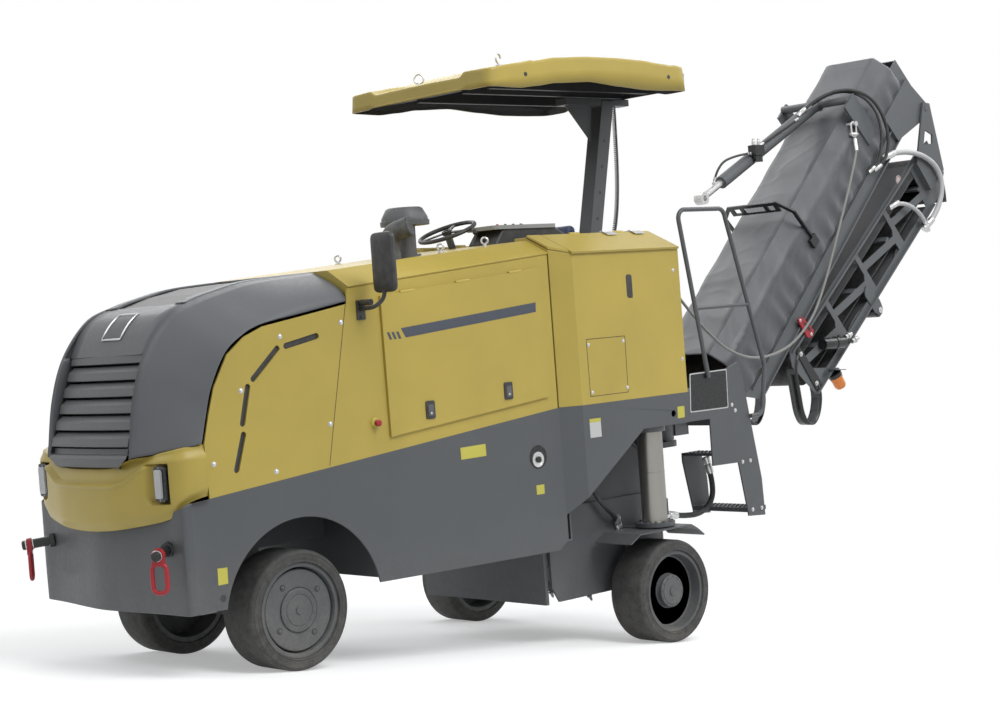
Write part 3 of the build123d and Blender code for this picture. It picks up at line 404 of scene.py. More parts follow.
def make_paint_group():
    """Sprayed coat: slow tone drift, orange peel and its gloss variation."""
    group, start, end = new_group(
        "Sprayed Coat", "Colour Roughness Height", Colour=MID_GREY, Tone_Drift=0.12, Peel_Scale=260.0,
        Gloss=0.3
    )
    drift = spread(group, grain(group, 1.7, 3.0), 0.3, 0.7)
    fine = spread(group, grain(group, 38.0, 3.0), 0.3, 0.75)
    dark = blend_colour(group, start["Tone Drift"], start["Colour"], (0.02, 0.02, 0.02, 1))
    gloss = maths(group, "ADD", start["Gloss"], product(group, fine, 0.14), True)
    peel = grain(group, start["Peel Scale"], 1.0, 0.4)
    feed(group, end, Colour=blend_colour(group, drift, dark, start["Colour"]), Roughness=gloss, Height=peel)


def make_dust_group():
    """Dried road dust, thick near the ground and thinning upwards, broken into patches."""
    group, start, end = new_group(
        "Road Dust",
        "Colour Roughness Mask",
        Colour=MID_GREY,
        Roughness=0.4,
        Dust=(0.3, 0.28, 0.25, 1),
        Top=0.9,
        Amount=0.5,
    )
    place = group.nodes.new("ShaderNodeTexCoord").outputs["Object"]
    split = group.nodes.new("ShaderNodeSeparateXYZ")
    put(group, split.inputs[0], place)
    height = spread(group, split.outputs["Z"], start["Top"], 0.0)
    broken = spread(group, grain(group, 5.0, 6.0, 0.65), 0.36, 0.72)
    speck = spread(group, grain(group, 60.0, 3.0), 0.4, 0.68)
    mask = product(group, product(group, height, height), start["Amount"])
    mask = product(group, mask, maths(group, "ADD", broken, product(group, speck, 0.5)), True)
    flat = maths(group, "ADD", start["Roughness"], product(group, mask, 0.5), True)
    feed(
        group, end, Colour=blend_colour(group, mask, start["Colour"], start["Dust"]), Roughness=flat,
        Mask=mask,
    )


def make_scratch_group():
    """Scuffs and rubbed spots, for edges and trodden faces."""
    group, start, end = new_group(
        "Rubbed Wear", "Colour Mask", Colour=MID_GREY, Bare=MID_GREY, Amount=0.4, Scale=14.0
    )
    patch = grain(group, start["Scale"], 6.0, 0.7, 0.4)
    limit = maths(group, "SUBTRACT", 0.75, product(group, start["Amount"], 0.4))
    mask = spread(group, patch, limit, 0.82)
    feed(group, end, Colour=blend_colour(group, mask, start["Colour"], start["Bare"]), Mask=mask)


def make_grain_group():
    """Moulded or cast surface: fine pits over a soft unevenness."""
    group, start, end = new_group(
        "Moulded Grain", "Colour Height Spot", Colour=(0.1, 0.1, 0.1, 1), Scale=300.0, Coarse=20.0,
        Variation=0.25
    )
    pits = grain(group, start["Scale"], 2.0, 0.5)
    soft = grain(group, start["Coarse"], 4.0, 0.6)
    height = maths(group, "ADD", product(group, pits, 0.4), product(group, soft, 0.6))
    share = product(group, spread(group, soft, 0.3, 0.7), start["Variation"])
    lighter = blend_colour(group, 0.5, start["Colour"], (0.6, 0.58, 0.55, 1))
    colour = blend_colour(group, share, start["Colour"], lighter)
    feed(group, end, Colour=colour, Height=height, Spot=spread(group, soft, 0.35, 0.65))


def make_weave_group():
    """Plain weave of coated cloth, as crossing threads."""
    group, start, end = new_group(
        "Coated Weave", "Colour Height Worn", Colour=(0.2, 0.2, 0.22, 1), Threads=180.0, Fading=0.1
    )
    place = group.nodes.new("ShaderNodeTexCoord").outputs["Object"]
    waves = []
    for direction in "YXZ":
        wave = node(group, "ShaderNodeTexWave", bands_direction=direction, Distortion=0.6, Detail=1.0)
        feed(group, wave.inputs, Scale=start["Threads"], Vector=place)
        waves.append(wave.outputs["Fac"])
    along = product(group, maths(group, "ADD", waves[1], waves[2]), 0.5)
    height = maths(group, "MAXIMUM", waves[0], along)
    worn = spread(group, grain(group, 2.6, 6.0, 0.62), 0.35, 0.7)
    pale = blend_colour(group, start["Fading"], start["Colour"], (0.55, 0.56, 0.58, 1))
    shade = blend_colour(group, worn, start["Colour"], pale)
    colour = blend_colour(group, product(group, height, 0.12), shade, (0, 0, 0, 1))
    feed(group, end, Colour=colour, Height=height, Worn=worn)


def make_brushed_group():
    """Ground steel: fine lines along one axis with faint stains."""
    group, start, end = new_group(
        "Ground Steel", "Colour Height Roughness", Colour=(0.5, 0.5, 0.48, 1), Stain=(0.25, 0.2, 0.15, 1),
        Amount=0.3
    )
    lines = grain(group, 30.0, 3.0, 0.6, 0.0, (4, 4, 40))
    blot = spread(group, grain(group, 9.0, 5.0, 0.65), 0.48, 0.7)
    share = product(group, blot, start["Amount"])
    rough = maths(group, "ADD", 0.22, product(group, lines, 0.22))
    colour = blend_colour(group, share, start["Colour"], start["Stain"])
    feed(group, end, Colour=colour, Height=lines, Roughness=rough)


# Materials


def from_group(name, group, relief, roughness, **values):
    """Material whose colour and bump come from a shared group with its own values."""
    made = bpy.data.materials.new(name)
    made.use_nodes = True
    tree = made.node_tree
    shader = tree.nodes["Principled BSDF"].inputs
    shader["Roughness"].default_value = roughness
    skin = placed_group(tree, group, **values)
    feed(tree, shader, Base_Color=skin["Colour"])
    raised(tree, shader, skin["Height"], *relief)
    return tree, shader, skin


def placed_group(tree, name, **values):
    """A shared group placed in a material, giving its outputs."""
    made = tree.nodes.new("ShaderNodeGroup")
    made.node_tree = bpy.data.node_groups[name]
    feed(tree, made.inputs, **values)
    return made.outputs


def raised(tree, shader, height, strength, distance):
    """Bump from a height socket into the shader's normal."""
    bump = node(tree, "ShaderNodeBump", Strength=strength, Distance=distance)
    put(tree, bump.inputs["Height"], height)
    put(tree, shader["Normal"], bump.outputs["Normal"])


def dusted(tree, shader, colour, roughness, top, amount):
    """Road dust laid over a finish."""
    dusty = placed_group(tree, "Road Dust", Colour=colour, Roughness=roughness, Top=top, Amount=amount)
    feed(tree, shader, Base_Color=dusty["Colour"], Roughness=dusty["Roughness"])


def paint(name, colour, gloss, dust=0.0, dust_top=0.9, wear=0.0, bare=(0.35, 0.34, 0.32, 1)):
    """Sprayed paint with dust towards the ground and, where asked, rubbed spots."""
    relief = (0.025, 0.0006)
    tree, shader, coat = from_group(
        name, "Sprayed Coat", relief, gloss, Colour=(*colour, 1), Tone_Drift=0.12, Gloss=gloss
    )
    result = coat["Colour"]
    if wear:
        result = placed_group(tree, "Rubbed Wear", Colour=result, Bare=bare, Amount=wear)["Colour"]
    dusted(tree, shader, result, coat["Roughness"], dust_top, dust)
    feed(tree, shader, Coat_Weight=0.12, Specular_IOR_Level=0.35, Coat_Roughness=0.18)


def moulded(name, colour, roughness, scale=300.0, strength=0.3, dust=0.0, variation=0.12, metallic=0.0):
    """Moulded plastic, cast iron or rubber."""
    tree, shader, skin = from_group(
        name, "Moulded Grain", (strength, 0.0012), roughness, Colour=(*colour, 1), Scale=scale,
        Variation=variation
    )
    shader["Metallic"].default_value = metallic
    dusted(tree, shader, skin["Colour"], roughness, 1.1, dust)


def ground_steel(name, colour, amount, stain=(0.3, 0.27, 0.22)):
    """Ground or chromed steel."""
    tree, shader, skin = from_group(
        name, "Ground Steel", (0.08, 0.0005), 0.3, Colour=(*colour, 1), Stain=(*stain, 1), Amount=amount
    )
    feed(tree, shader, Metallic=0.85, Roughness=skin["Roughness"])


def coated_cloth(name, colour, roughness):
    """Coated cloth for the conveyor cover, and a dark copy used as painted shade inside the folded section.
    """
    tree, shader, cloth = from_group(
        name, "Coated Weave", (0.22, 0.0006), roughness, Colour=(*colour, 1), Threads=130.0
    )
    rough = maths(tree, "ADD", product(tree, cloth["Worn"], 0.18), roughness)
    feed(tree, shader, Roughness=rough, Sheen_Weight=0.15)


def lens(name, colour, roughness, clear, metallic=0.0):
    """Lamp lens, reflector or mirror, ribbed a little."""
    made = bpy.data.materials.new(name)
    made.use_nodes = True
    tree = made.node_tree
    shader = tree.nodes["Principled BSDF"].inputs
    feed(
        tree, shader, Base_Color=(*colour, 1), Roughness=roughness, Metallic=metallic,
        Transmission_Weight=clear,
    )
    raised(tree, shader, grain(tree, 90.0, 2.0, 0.5), 0.15, 0.001)


PAINTS = {
    "hood grey": ((0.135, 0.141, 0.15), 0.44),
    "badge grey": ((0.1, 0.104, 0.11), 0.4),
    "slat grey": ((0.15, 0.154, 0.158), 0.42, 0.1),
    "conveyor grey": ((0.125, 0.133, 0.14), 0.42, 0.3, 0.8),
    "rim grey": ((0.095, 0.102, 0.108), 0.46, 0.5, 0.9, 0.15),
    "pale grey": ((0.36, 0.365, 0.36), 0.4),
    "gloss black": ((0.018, 0.019, 0.02), 0.22, 0.1),
    "worn step": ((0.1, 0.105, 0.11), 0.5, 0.5, 0.9, 0.7, (0.4, 0.4, 0.39, 1)),
    "stripe grey": ((0.075, 0.085, 0.11), 0.4),
    "signal red": ((0.42, 0.02, 0.03), 0.34, 0.1, 0.9, 0.25),
    "label yellow": ((0.62, 0.56, 0.1), 0.4),
    "label white": ((0.62, 0.63, 0.62), 0.4),
    # Painted shade: the flat dark colour of the roof's underside and its cross members stands for the shade
    # under the roof.
    "roof lining": ((0.03, 0.031, 0.033), 0.6),
}
MOULDINGS = {
    "black plastic": ((0.022, 0.022, 0.024), 0.5, 420.0, 0.25),
    "grey plastic": ((0.09, 0.093, 0.1), 0.5, 420.0, 0.25),
    "tyre rubber": ((0.03, 0.031, 0.031), 0.72, 240.0, 0.5, 0.28),
    "hose rubber": ((0.025, 0.026, 0.028), 0.6),
    "grey hose": ((0.26, 0.26, 0.25), 0.62),
    "white hose": ((0.55, 0.56, 0.56), 0.5),
    "belt rubber": ((0.028, 0.028, 0.03), 0.7, 160.0, 0.5, 0.0, 0.2),
    "seat vinyl": ((0.028, 0.05, 0.13), 0.5, 520.0, 0.4, 0.0, 0.1),
    "cast iron": ((0.07, 0.072, 0.074), 0.62, 200.0, 0.6, 0.55, 0.25, 0.2),
    "drum steel": ((0.11, 0.1, 0.09), 0.58, 120.0, 0.6, 0.6, 0.35, 0.6),
}


def make_materials(settings):
    """Every finish by its plain name."""
    paint("machine yellow", settings.body_colour, 0.34, 0.2, 0.7)
    paint("machine grey", settings.frame_colour, 0.42, 0.35)
    for name, values in PAINTS.items():
        paint(name, *values)
    for name, values in MOULDINGS.items():
        moulded(name, *values)
    ground_steel("column steel", (0.3, 0.29, 0.27), 0.25)
    ground_steel("bright steel", (0.6, 0.6, 0.6), 0.15)
    ground_steel("carbide", (0.3, 0.3, 0.32), 0.5, (0.12, 0.1, 0.08))
    coated_cloth("cover cloth", (0.07, 0.075, 0.086), 0.34)
    # Painted shade: dark cloth that stands for the shade inside the folded section.
    coated_cloth("flap cloth", (0.04, 0.042, 0.046), 0.5)
    lens("clear lens", (0.85, 0.87, 0.9), 0.08, 0.6)
    lens("amber lens", (0.9, 0.28, 0.03), 0.15, 0.4)
    lens("reflector", (0.42, 0.42, 0.42), 0.2, 0.0, 0.9)
    lens("mirror glass", (0.6, 0.62, 0.65), 0.03, 0.0, 1.0)


NODE_FINISHES = {
    "machine yellow": "side_panel side_door top_deck rear_cabinet cabinet_lid",
    "black plastic": "hood_mesh console steering_wheel",
    "cast iron": "engine_block front_axle knuckle",
    "drum steel": "milling_drum scraper",
    "conveyor grey": "conveyor_frame slew_bracket tail_frame stay_barrel",
    "belt rubber": "conveyor_belt tail_belt",
    "bright steel": "stay_rod",
    "tyre rubber": "tyre",
    "rim grey": "rim",
}
EDGE_WIDTHS = {
    0.015: "console",
    0.01: "top_deck",
    0.008: "tyre",
    0.006: "canopy_post",
    0.004: "side_door rear_cabinet swing_arm_right",
    0.003: "cabinet_lid main_frame drum_housing slew_bracket rim",
    0.002: "steps conveyor_frame tail_frame operator_platform",
}


def looked_up(table, name, otherwise):
    """Table's key whose list holds the start of a node's name."""
    for key, starts in table.items():
        if name.startswith(tuple(starts.split())):
            return key
    return otherwise


def dress_node(name, thing):
    """A CAD node's finish and rounded edges."""
    finish = bpy.data.materials[looked_up(NODE_FINISHES, name, "machine grey")]
    if not thing.data.materials:
        thing.data.materials.append(finish)
    for index in range(len(thing.data.materials)):
        thing.data.materials[index] = finish
    width = looked_up(EDGE_WIDTHS, name, 0.0)
    if width:
        thing.modifiers.new("joined faces", "WELD").merge_threshold = 0.00005
        soften(thing, width)


def bright_column(name, y):
    """Bare steel on the leg's column, which runs through its painted bracket."""
    thing = NODES[name]
    thing.data.materials.append(bpy.data.materials["column steel"])
    inverse = BODY.inverted()
    for face in thing.data.polygons:
        centre = inverse @ face.center
        reach = math.hypot(centre.x - REAR_AXLE, centre.y - y)
        if reach < 0.0835 and centre.z > 0.436:
            face.material_index = 1


# Camera, lights, floor and sky


def make_stage(settings):
    """Camera at the viewing angle, soft lights, white floor and world."""
    azimuth, tilt, roll = math.radians(227.3), math.radians(3.26), math.radians(0.74)
    look = Vector((math.cos(tilt) * math.cos(azimuth), math.cos(tilt) * math.sin(azimuth), math.sin(tilt)))
    right = look.cross(Vector((0, 0, 1))).normalized()
    up = right.cross(look)
    right, up = right * math.cos(roll) + up * math.sin(roll), up * math.cos(roll) - right * math.sin(roll)
    camera = placed("camera", bpy.data.cameras.new("camera"))
    camera.data.sensor_width = 36
    camera.data.lens = 67.37
    camera.data.clip_end = 200
    turn = Matrix((right, up, -look)).transposed().to_4x4()
    turn.translation = Vector((FRONT_HUB.x, FRONT_HUB.y, 0)) + Vector((6.162, 8.929, 1.173))
    camera.matrix_world = turn
    bpy.context.scene.camera = camera
    middle = (Vector(CAD_BOX[0]) + Vector(CAD_BOX[1])) / 2
    for name, offset, size, share in (
        ("key light", (1.5, 9.5, 9.5), 7.0, 1.0),
        ("fill light", (9.0, -3.0, 5.5), 6.0, 0.12),
        ("back light", (-9.0, 3.0, 8.0), 6.0, 0.35),
        ("far light", (-2.0, -9.0, 8.0), 7.0, 0.35),
    ):
        light = bpy.data.lights.new(name, "AREA")
        light.size = size
        light.energy = settings.key_power * share
        lamp = placed(name, light)
        lamp.location = middle + Vector(offset)
        lamp.rotation_euler = (middle - lamp.location).to_track_quat("-Z", "Y").to_euler()
    mesh = bpy.data.meshes.new("floor")
    corners = [(x * FLOOR_REACH, y * FLOOR_REACH, 0) for x, y in ((-1, -1), (1, -1), (1, 1), (-1, 1))]
    mesh.from_pydata(corners, [], [(0, 1, 2, 3)])
    mesh.materials.append(floor_material(settings.floor_glow))
    placed("floor", mesh)
    make_world(settings.sky_strength)
    bpy.context.scene.view_settings.view_transform = "Standard"


def seen_directly(tree):
    """1 where the camera, a reflection or a clear lens looks straight at the surface."""
    path = tree.nodes.new("ShaderNodeLightPath").outputs
    first = maths(tree, "MAXIMUM", path["Is Camera Ray"], path["Is Glossy Ray"])
    return maths(tree, "MAXIMUM", first, path["Is Transmission Ray"])


def joined(tree, kind, *sources):
    """Shader node fed in order, giving its output socket."""
    made = tree.nodes.new(kind)
    for socket, source in zip(made.inputs, sources):
        put(tree, socket, source)
    return made.outputs[0] if made.outputs else None


def floor_material(glow):
    """Pale floor that keeps the shadow and reads as white."""
    made = bpy.data.materials.new("pale floor")
    made.use_nodes = True
    tree = made.node_tree
    tree.nodes.clear()
    matt = node(tree, "ShaderNodeBsdfDiffuse", Color=(0.8, 0.8, 0.8, 1))
    light, white = [node(tree, "ShaderNodeEmission", Color=(1, 1, 1, 1)) for _ in range(2)]
    put(tree, light.inputs["Strength"], product(tree, seen_directly(tree), glow))
    put(tree, white.inputs["Strength"], seen_directly(tree))
    near = joined(tree, "ShaderNodeAddShader", matt.outputs[0], light.outputs[0])
    reach = node(tree, "ShaderNodeVectorMath", operation="LENGTH")
    put(tree, reach.inputs[0], tree.nodes.new("ShaderNodeTexCoord").outputs["Object"])
    share = spread(tree, reach.outputs["Value"], 4.6, 7.0)
    far = joined(tree, "ShaderNodeMixShader", share, near, white.outputs[0])
    joined(tree, "ShaderNodeOutputMaterial", far)
    return made


def make_world(strength):
    """Even sky light, seen as plain white."""
    world = bpy.data.worlds.new("soft sky")
    bpy.context.scene.world = world
    world.use_nodes = True
    tree = world.node_tree
    tree.nodes.clear()
    sky = node(tree, "ShaderNodeBackground", Color=(0.93, 0.97, 1.0, 1), Strength=strength)
    white = node(tree, "ShaderNodeBackground", Color=(1, 1, 1, 1), Strength=1.0)
    mix = joined(tree, "ShaderNodeMixShader", seen_directly(tree), sky.outputs[0], white.outputs[0])
    joined(tree, "ShaderNodeOutputWorld", mix)


# Conveyor cover

COVER_SECTION = [
    (-0.31, -0.4), (-0.31, -0.126), (-0.222, 0.004), (0.222, 0.004), (0.31, -0.126), (0.31, -0.4)
]
COVER_LENGTH = 3.08
BOW_PITCH = 0.385


def section_point(section, share):
    """Point at a share of an open section's length."""
    runs = [math.dist(a, b) for a, b in zip(section, section[1:])]
    left = share * sum(runs)
    for (a, b), run in zip(zip(section, section[1:]), runs):
        if left <= run + 1e-9:
            t = left / run
            across, down = b[0] - a[0], b[1] - a[1]
            return a[0] + across * t, a[1] + down * t, down / run, across / run
        left -= run
    return None


def make_cover():
    """Tarpaulin drawn over the conveyor's bows, sagging between them and creased at its hems."""
    bm = bmesh.new()
    along, across = 190, 64
    rows = []
    for i in range(along + 1):
        u = -0.02 + (COVER_LENGTH + 0.02) * i / along
        row = []
        for k in range(across + 1):
            share = k / across
            y, h, slope_h, slope_y = section_point(COVER_SECTION, share)
            side = abs(y) > 0.3
            out = Vector((0, -slope_h, slope_y))
            sag = 0.0 if side else -0.006 * math.sin(u * math.pi / BOW_PITCH) ** 2
            crease = noise.noise(Vector((u * 4.0 + h * 5.0, share * 7.0, 1.3))) * 0.003
            fold = noise.noise(Vector((u * 5.0 - h * 9.0, share * 4.0, 4.1)))
            crease += max(0.0, 0.12 - abs(fold)) * 0.035 * (1.0 if side else 0.5)
            hang = max(0.0, -h - 0.14) / 0.26
            pleat = hang * 0.012 * math.sin(u * 34.0 + 3.0 * noise.noise(Vector((u * 3.0, 0, 7.7))))
            lift = 0.008 + sag + crease + pleat
            row.append(Vector((-u, y, h)) + out * max(lift, 0.002))
        rows.append(row)
    grid(bm, rows)
    cover = piece("cover_sheet", bm, "cover cloth", body="conveyor", place=CONVEYOR)
    cover.modifiers.new("cloth thickness", "SOLIDIFY").thickness = 0.0012
    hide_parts("conveyor_cover")


# Bolts, latches and stripes of the sides

SIDE_BOLTS = [
    (0.521, 1.186),
    (0.316, 1.554),
    (0.037, 1.823),
    (-0.386, 1.875),
    (-0.259, 1.322),
    (0.126, 1.103),
]
PANEL_BOLTS = [(-2.25, 1.62), (-2.565, 1.625), (-2.572, 1.33), (-2.256, 1.325)]
LATCHES = [(-0.974, 1.335), (-1.596, 1.392)]


def make_side_fittings():
    """Bolts, latches, stop buttons and stripes on both sides."""
    for name, side in SIDES:
        out = (0, side, 0)
        bm = bmesh.new()
        for x, z in SIDE_BOLTS:
            bolt(bm, (x, side * (SKIN - SUNK), z), out, 0.0095)
        for x, z in PANEL_BOLTS + [(-3.111, 1.47), (-3.08, 2.05)]:
            bolt(bm, (x, side * (CABINET - SUNK), z), out, 0.008)
        piece(f"side_bolts_{name}", bm, "bright steel")
        bm = bmesh.new()
        for x, z in LATCHES:
            outline = oblong(x - 0.034, z - 0.052, x + 0.034, z + 0.052, 0.012)
            side_plate(bm, outline, side * DOOR, side * 0.753)
            inner = oblong(x - 0.02, z - 0.036, x + 0.02, z + 0.03, 0.008)
            side_plate(bm, inner, side * 0.752, side * 0.7565, 1)
            turned(bm, (x, side * 0.7555, z - 0.02), out, [(0, 0.008), (0.004, 0.007), (0.004, 0)], 12, 2)
        piece(
            f"door_latches_{name}", bm, "black plastic, grey plastic, bright steel", 0.0015,
            body=f"door_{name}",
        )
        bm = bmesh.new()
        stop = (-0.576, side * SKIN, 1.297)
        turned(bm, stop, out, [(0, 0.03), (0.008, 0.03), (0.01, 0.027), (0.01, 0)], 28)
        turned(
            bm, stop, out,
            [(0.006, 0.014), (0.022, 0.014), (0.024, 0.02), (0.036, 0.0195), (0.04, 0.014), (0.041, 0)],
            24, 1,
        )
        piece(f"stop_button_{name}", bm, "label yellow, signal red")
        bm = bmesh.new()
        stripe = [(-0.8, 1.816), (-1.876, 1.907), (-1.873, 1.849), (-0.832, 1.761)]
        side_plate(bm, stripe, side * DOOR, side * 0.7468)
        for k in range(3):
            x = -0.695 - k * 0.034
            side_plate(
                bm, [(x, 1.798), (x - 0.018, 1.799), (x - 0.036, 1.757), (x - 0.018, 1.756)], side * DOOR,
                side * 0.7468,
            )
        piece(f"door_stripe_{name}", bm, "stripe grey", body=f"door_{name}")


def painted_slot_shade():
    """Black sheets of painted shade behind the louvres and the side slots."""
    # These black sheets are painted shade, standing for the shaded inside of the body seen through the
    # openings.
    bm = bmesh.new()
    for side in (-1, 1):
        y = side * 0.7175
        side_plate(bm, [(0.44, 1.1), (0.4, 1.42), (0.14, 1.42), (0.18, 1.1)], y, y - side * 0.003)
        side_plate(
            bm,
            [
                (0.4, 1.42), (0.36, 1.64), (0.2, 1.79), (-0.26, 1.87), (-0.26, 1.7), (0.0, 1.66),
                (0.14, 1.42),
            ],
            y, y - side * 0.003,
        )
    solid(
        bm, [(0.76, -0.37, 1.25), (0.76, 0.37, 1.25), (0.5, 0.37, 1.93), (0.5, -0.37, 1.93)], (-0.004, 0, 0)
    )
    piece("slot_painted_shade", bm, "black plastic")


# Wheels and running gear


def front_cover(bm):
    """Flat cover of a front wheel with its hub cap, outward along Y from the wheel's centre."""
    out = (0, 1, 0)
    disc = [(0.0, 0.224), (0.045, 0.224), (0.05, 0.219), (0.05, 0.126), (0.046, 0.124), (0.046, 0.12)]
    disc += [(0.056, 0.119), (0.059, 0.115), (0.059, 0.09), (0.056, 0.088), (0.056, 0.085), (0.059, 0.083)]
    disc += [(0.059, 0.024), (0.066, 0.021), (0.067, 0)]
    turned(bm, (0, 0.062, 0), out, disc, 64)
    for k in range(4):
        angle = math.radians(48 + 90 * k)
        spot = Vector((0.165 * math.cos(angle), 0.1115, 0.165 * math.sin(angle)))
        round_plate(bm, spot, out, 0.018, 0.0012, 20, 1)
        bolt(bm, spot, out, 0.0085)
    for k in range(14):
        angle = 2 * math.pi * (k + 0.3) / 14
        turned(
            bm, (0.102 * math.cos(angle), 0.12, 0.102 * math.sin(angle)), out,
            [(0, 0.0045), (0.003, 0.004), (0.003, 0)], 8,
        )


def rear_cover(bm):
    """Hub reducer of a rear wheel with its ring of nuts, outward along Y."""
    out = (0, 1, 0)
    drum = [(0.0, 0.113), (0.022, 0.113), (0.022, 0.104), (0.058, 0.104), (0.062, 0.1), (0.062, 0.086)]
    drum += [(0.066, 0.084), (0.066, 0.03), (0.072, 0.028), (0.073, 0)]
    turned(bm, (0, 0.044, 0), out, drum, 48)
    for k in range(12):
        angle = 2 * math.pi * k / 12
        bolt(bm, (0.094 * math.cos(angle), 0.105, 0.094 * math.sin(angle)), out, 0.0045)
    for k in range(10):
        angle = 2 * math.pi * (k + 0.5) / 10
        bolt(bm, (0.16 * math.cos(angle), 0.046, 0.16 * math.sin(angle)), out, 0.0095)
    turned(
        bm, (0, 0.0, 0), out,
        [(0.06, 0.2355), (0.1, 0.2375), (0.131, 0.2415), (0.1315, 0.2375), (0.1, 0.233), (0.06, 0.231)], 64,
    )


def make_wheels():
    """Covers, hub nuts and moulded sidewall rings of all four wheels."""
    for end, cover in (("front", front_cover), ("rear", rear_cover)):
        for name, side in SIDES:
            low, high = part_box(f"tyre_{end}_{name}")
            centre = (Vector(low) + Vector(high)) / 2
            place = Matrix.Translation(centre) @ Matrix.Diagonal((1, side, 1, 1))
            bm = bmesh.new()
            cover(bm)
            piece(
                f"hub_{end}_{name}", bm, "rim grey, gloss black", body=f"{end}_wheel_{name}",
                place=place,
            )
            bm = bmesh.new()
            for radius, thick in ((0.2665, 0.0045), (0.283, 0.002), (0.308, 0.0025)):
                bar(bm, ring_points((0, 0.1395, 0), (0, 1, 0), radius, 72), thick, 8, 0, True)
            piece(
                f"sidewall_{end}_{name}", bm, "tyre rubber", body=f"{end}_wheel_{name}", place=place
            )


# Front end

HOOD_STATIONS = [
    ((0.585, 1.302), (0.838, 1.248), (0.862, 1.25), 0.45),
    ((0.545, 1.45), (0.79, 1.55), (0.763, 1.55), 0.3),
    ((0.5, 1.59), (0.7, 1.79), (0.675, 1.79), 0.26),
    ((0.4, 1.76), (0.54, 1.98), (0.552, 1.973), 0.26),
    ((0.28, 1.85), (0.37, 2.053), (0.37, 2.057), 0.28),
    ((0.15, 1.9), (0.2, 2.098), (0.2, 2.102), 0.3),
    ((-0.1, 1.938), (-0.02, 2.14), (-0.02, 2.144), 0.42),
    ((-0.43, 1.99), (-0.452, 2.168), (-0.452, 2.172), 0.46),
]


def hood_station(at):
    """Seam, ridge, middle and roundness of the hood at a place along it."""
    rows = [(*seam, *ridge, *middle, share) for seam, ridge, middle, share in HOOD_STATIONS]
    row = smooth_between(rows, at)
    return Vector(row[0:2]), Vector(row[2:4]), Vector(row[4:6]), row[6]


def hood_row(at):
    """Points of one side of the hood from the ridge out to the seam."""
    seam, ridge, _, share = hood_station(at)
    steps = 14
    points = []
    for k in range(steps + 1):
        t = k / steps
        corner = max(2 * share - 0.5, 0.04)
        along = (1 - t) ** 2 + 2 * t * (1 - t) * corner
        y = (1 - t) ** 2 * 0.42 + 2 * t * (1 - t) * 0.728 + t * t * 0.7305
        spot = seam + (ridge - seam) * along
        points.append((spot.x, y, spot.y))
    return points


def middle_at(x):
    """Place along the hood where its middle line is at x."""
    low, high = 2.0, 7.0
    for _ in range(30):
        half = (low + high) / 2
        if hood_station(half)[2].x > x:
            low = half
        else:
            high = half
    return low


def make_hood(wall):
    """Moulded hood: both corners, the nose panel over the louvres, the frame of the top mesh and gloss
    black strips of painted shade in the gaps beside the nose.
    """
    bm = bmesh.new()
    stops = [7 * k / 70 for k in range(71)]
    mesh_front, mesh_rear = middle_at(0.4), middle_at(-0.3)
    for side in (-1, 1):
        grid(bm, [[(x, side * y, z) for x, y, z in hood_row(at)] for at in stops])
        strip = [at for at in stops if mesh_front < at]
        rows = []
        for at in [mesh_front] + strip:
            _, ridge, middle, _ = hood_station(at)
            rows.append(
                [
                    (ridge.x, side * 0.42, ridge.y), (middle.x, side * 0.36, middle.y),
                    (middle.x, side * 0.3, middle.y),
                ]
            )
        grid(bm, rows)
        lip = []
        for at in [2.0 * k / 20 for k in range(21)]:
            _, ridge, middle, _ = hood_station(at)
            lip.append(
                [
                    (ridge.x, side * 0.42, ridge.y), (ridge.x - 0.01, side * 0.406, ridge.y - 0.003),
                    (middle.x - 0.035, side * 0.398, middle.y - 0.01),
                ]
            )
        grid(bm, lip)
    rear = [mesh_rear + (7 - mesh_rear) * k / 4 for k in range(5)]
    rows = []
    for at in rear:
        middle = hood_station(at)[2]
        rows.append([(middle.x, y, middle.y) for y in (-0.3, -0.1, 0.1, 0.3)])
    grid(bm, rows)
    shell = piece("hood_shell", bm, "hood grey")
    thicken(shell, wall)
    bm = bmesh.new()
    rows = []
    for k in range(17):
        at = 2.0 + (mesh_front - 2.0) * k / 16
        _, ridge, middle, _ = hood_station(at)
        rows.append(
            [
                (middle.x - 0.014 * abs(y / 0.41) ** 3, y, middle.y - 0.006)
                for y in (-0.412, -0.3, -0.15, 0, 0.15, 0.3, 0.412)
            ]
        )
    first = [(x - 0.03, y, z - 0.014) for x, y, z in rows[0]]
    grid(bm, [first] + rows)
    nose = piece("nose_panel", bm, "hood grey")
    thicken(nose, wall)
    # Gloss black strips along both sides of the nose are painted shade for the shadowed gap between the
    # hood's ridge and the nose panel.
    bm = bmesh.new()
    for side in (-1, 1):
        rows = []
        for k in range(33):
            at = 2.0 + (mesh_front - 2.0) * k / 32
            _, ridge, middle, _ = hood_station(at)
            rows.append(
                [
                    (ridge.x - 0.02, side * 0.425, ridge.y - 0.02),
                    (middle.x - 0.03, side * 0.405, middle.y - 0.026),
                ]
            )
        grid(bm, rows)
    piece("nose_gap_painted_shade", bm, "gloss black")
    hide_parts("hood")


def nose_x(z):
    """Front face of the nose at a height."""
    run = [(0.866, 1.184), (0.86, 1.285), (0.763, 1.55), (0.675, 1.79), (0.588, 1.945)]
    for (x0, z0), (x1, z1) in zip(run, run[1:]):
        if z <= z1:
            return x0 + (x1 - x0) * (z - z0) / (z1 - z0)
    return run[-1][0]


LOUVRE = [(0.0, 0.0), (-0.012, 0.044), (-0.052, 0.074), (-0.06, 0.066), (-0.026, 0.034), (-0.016, -0.004)]


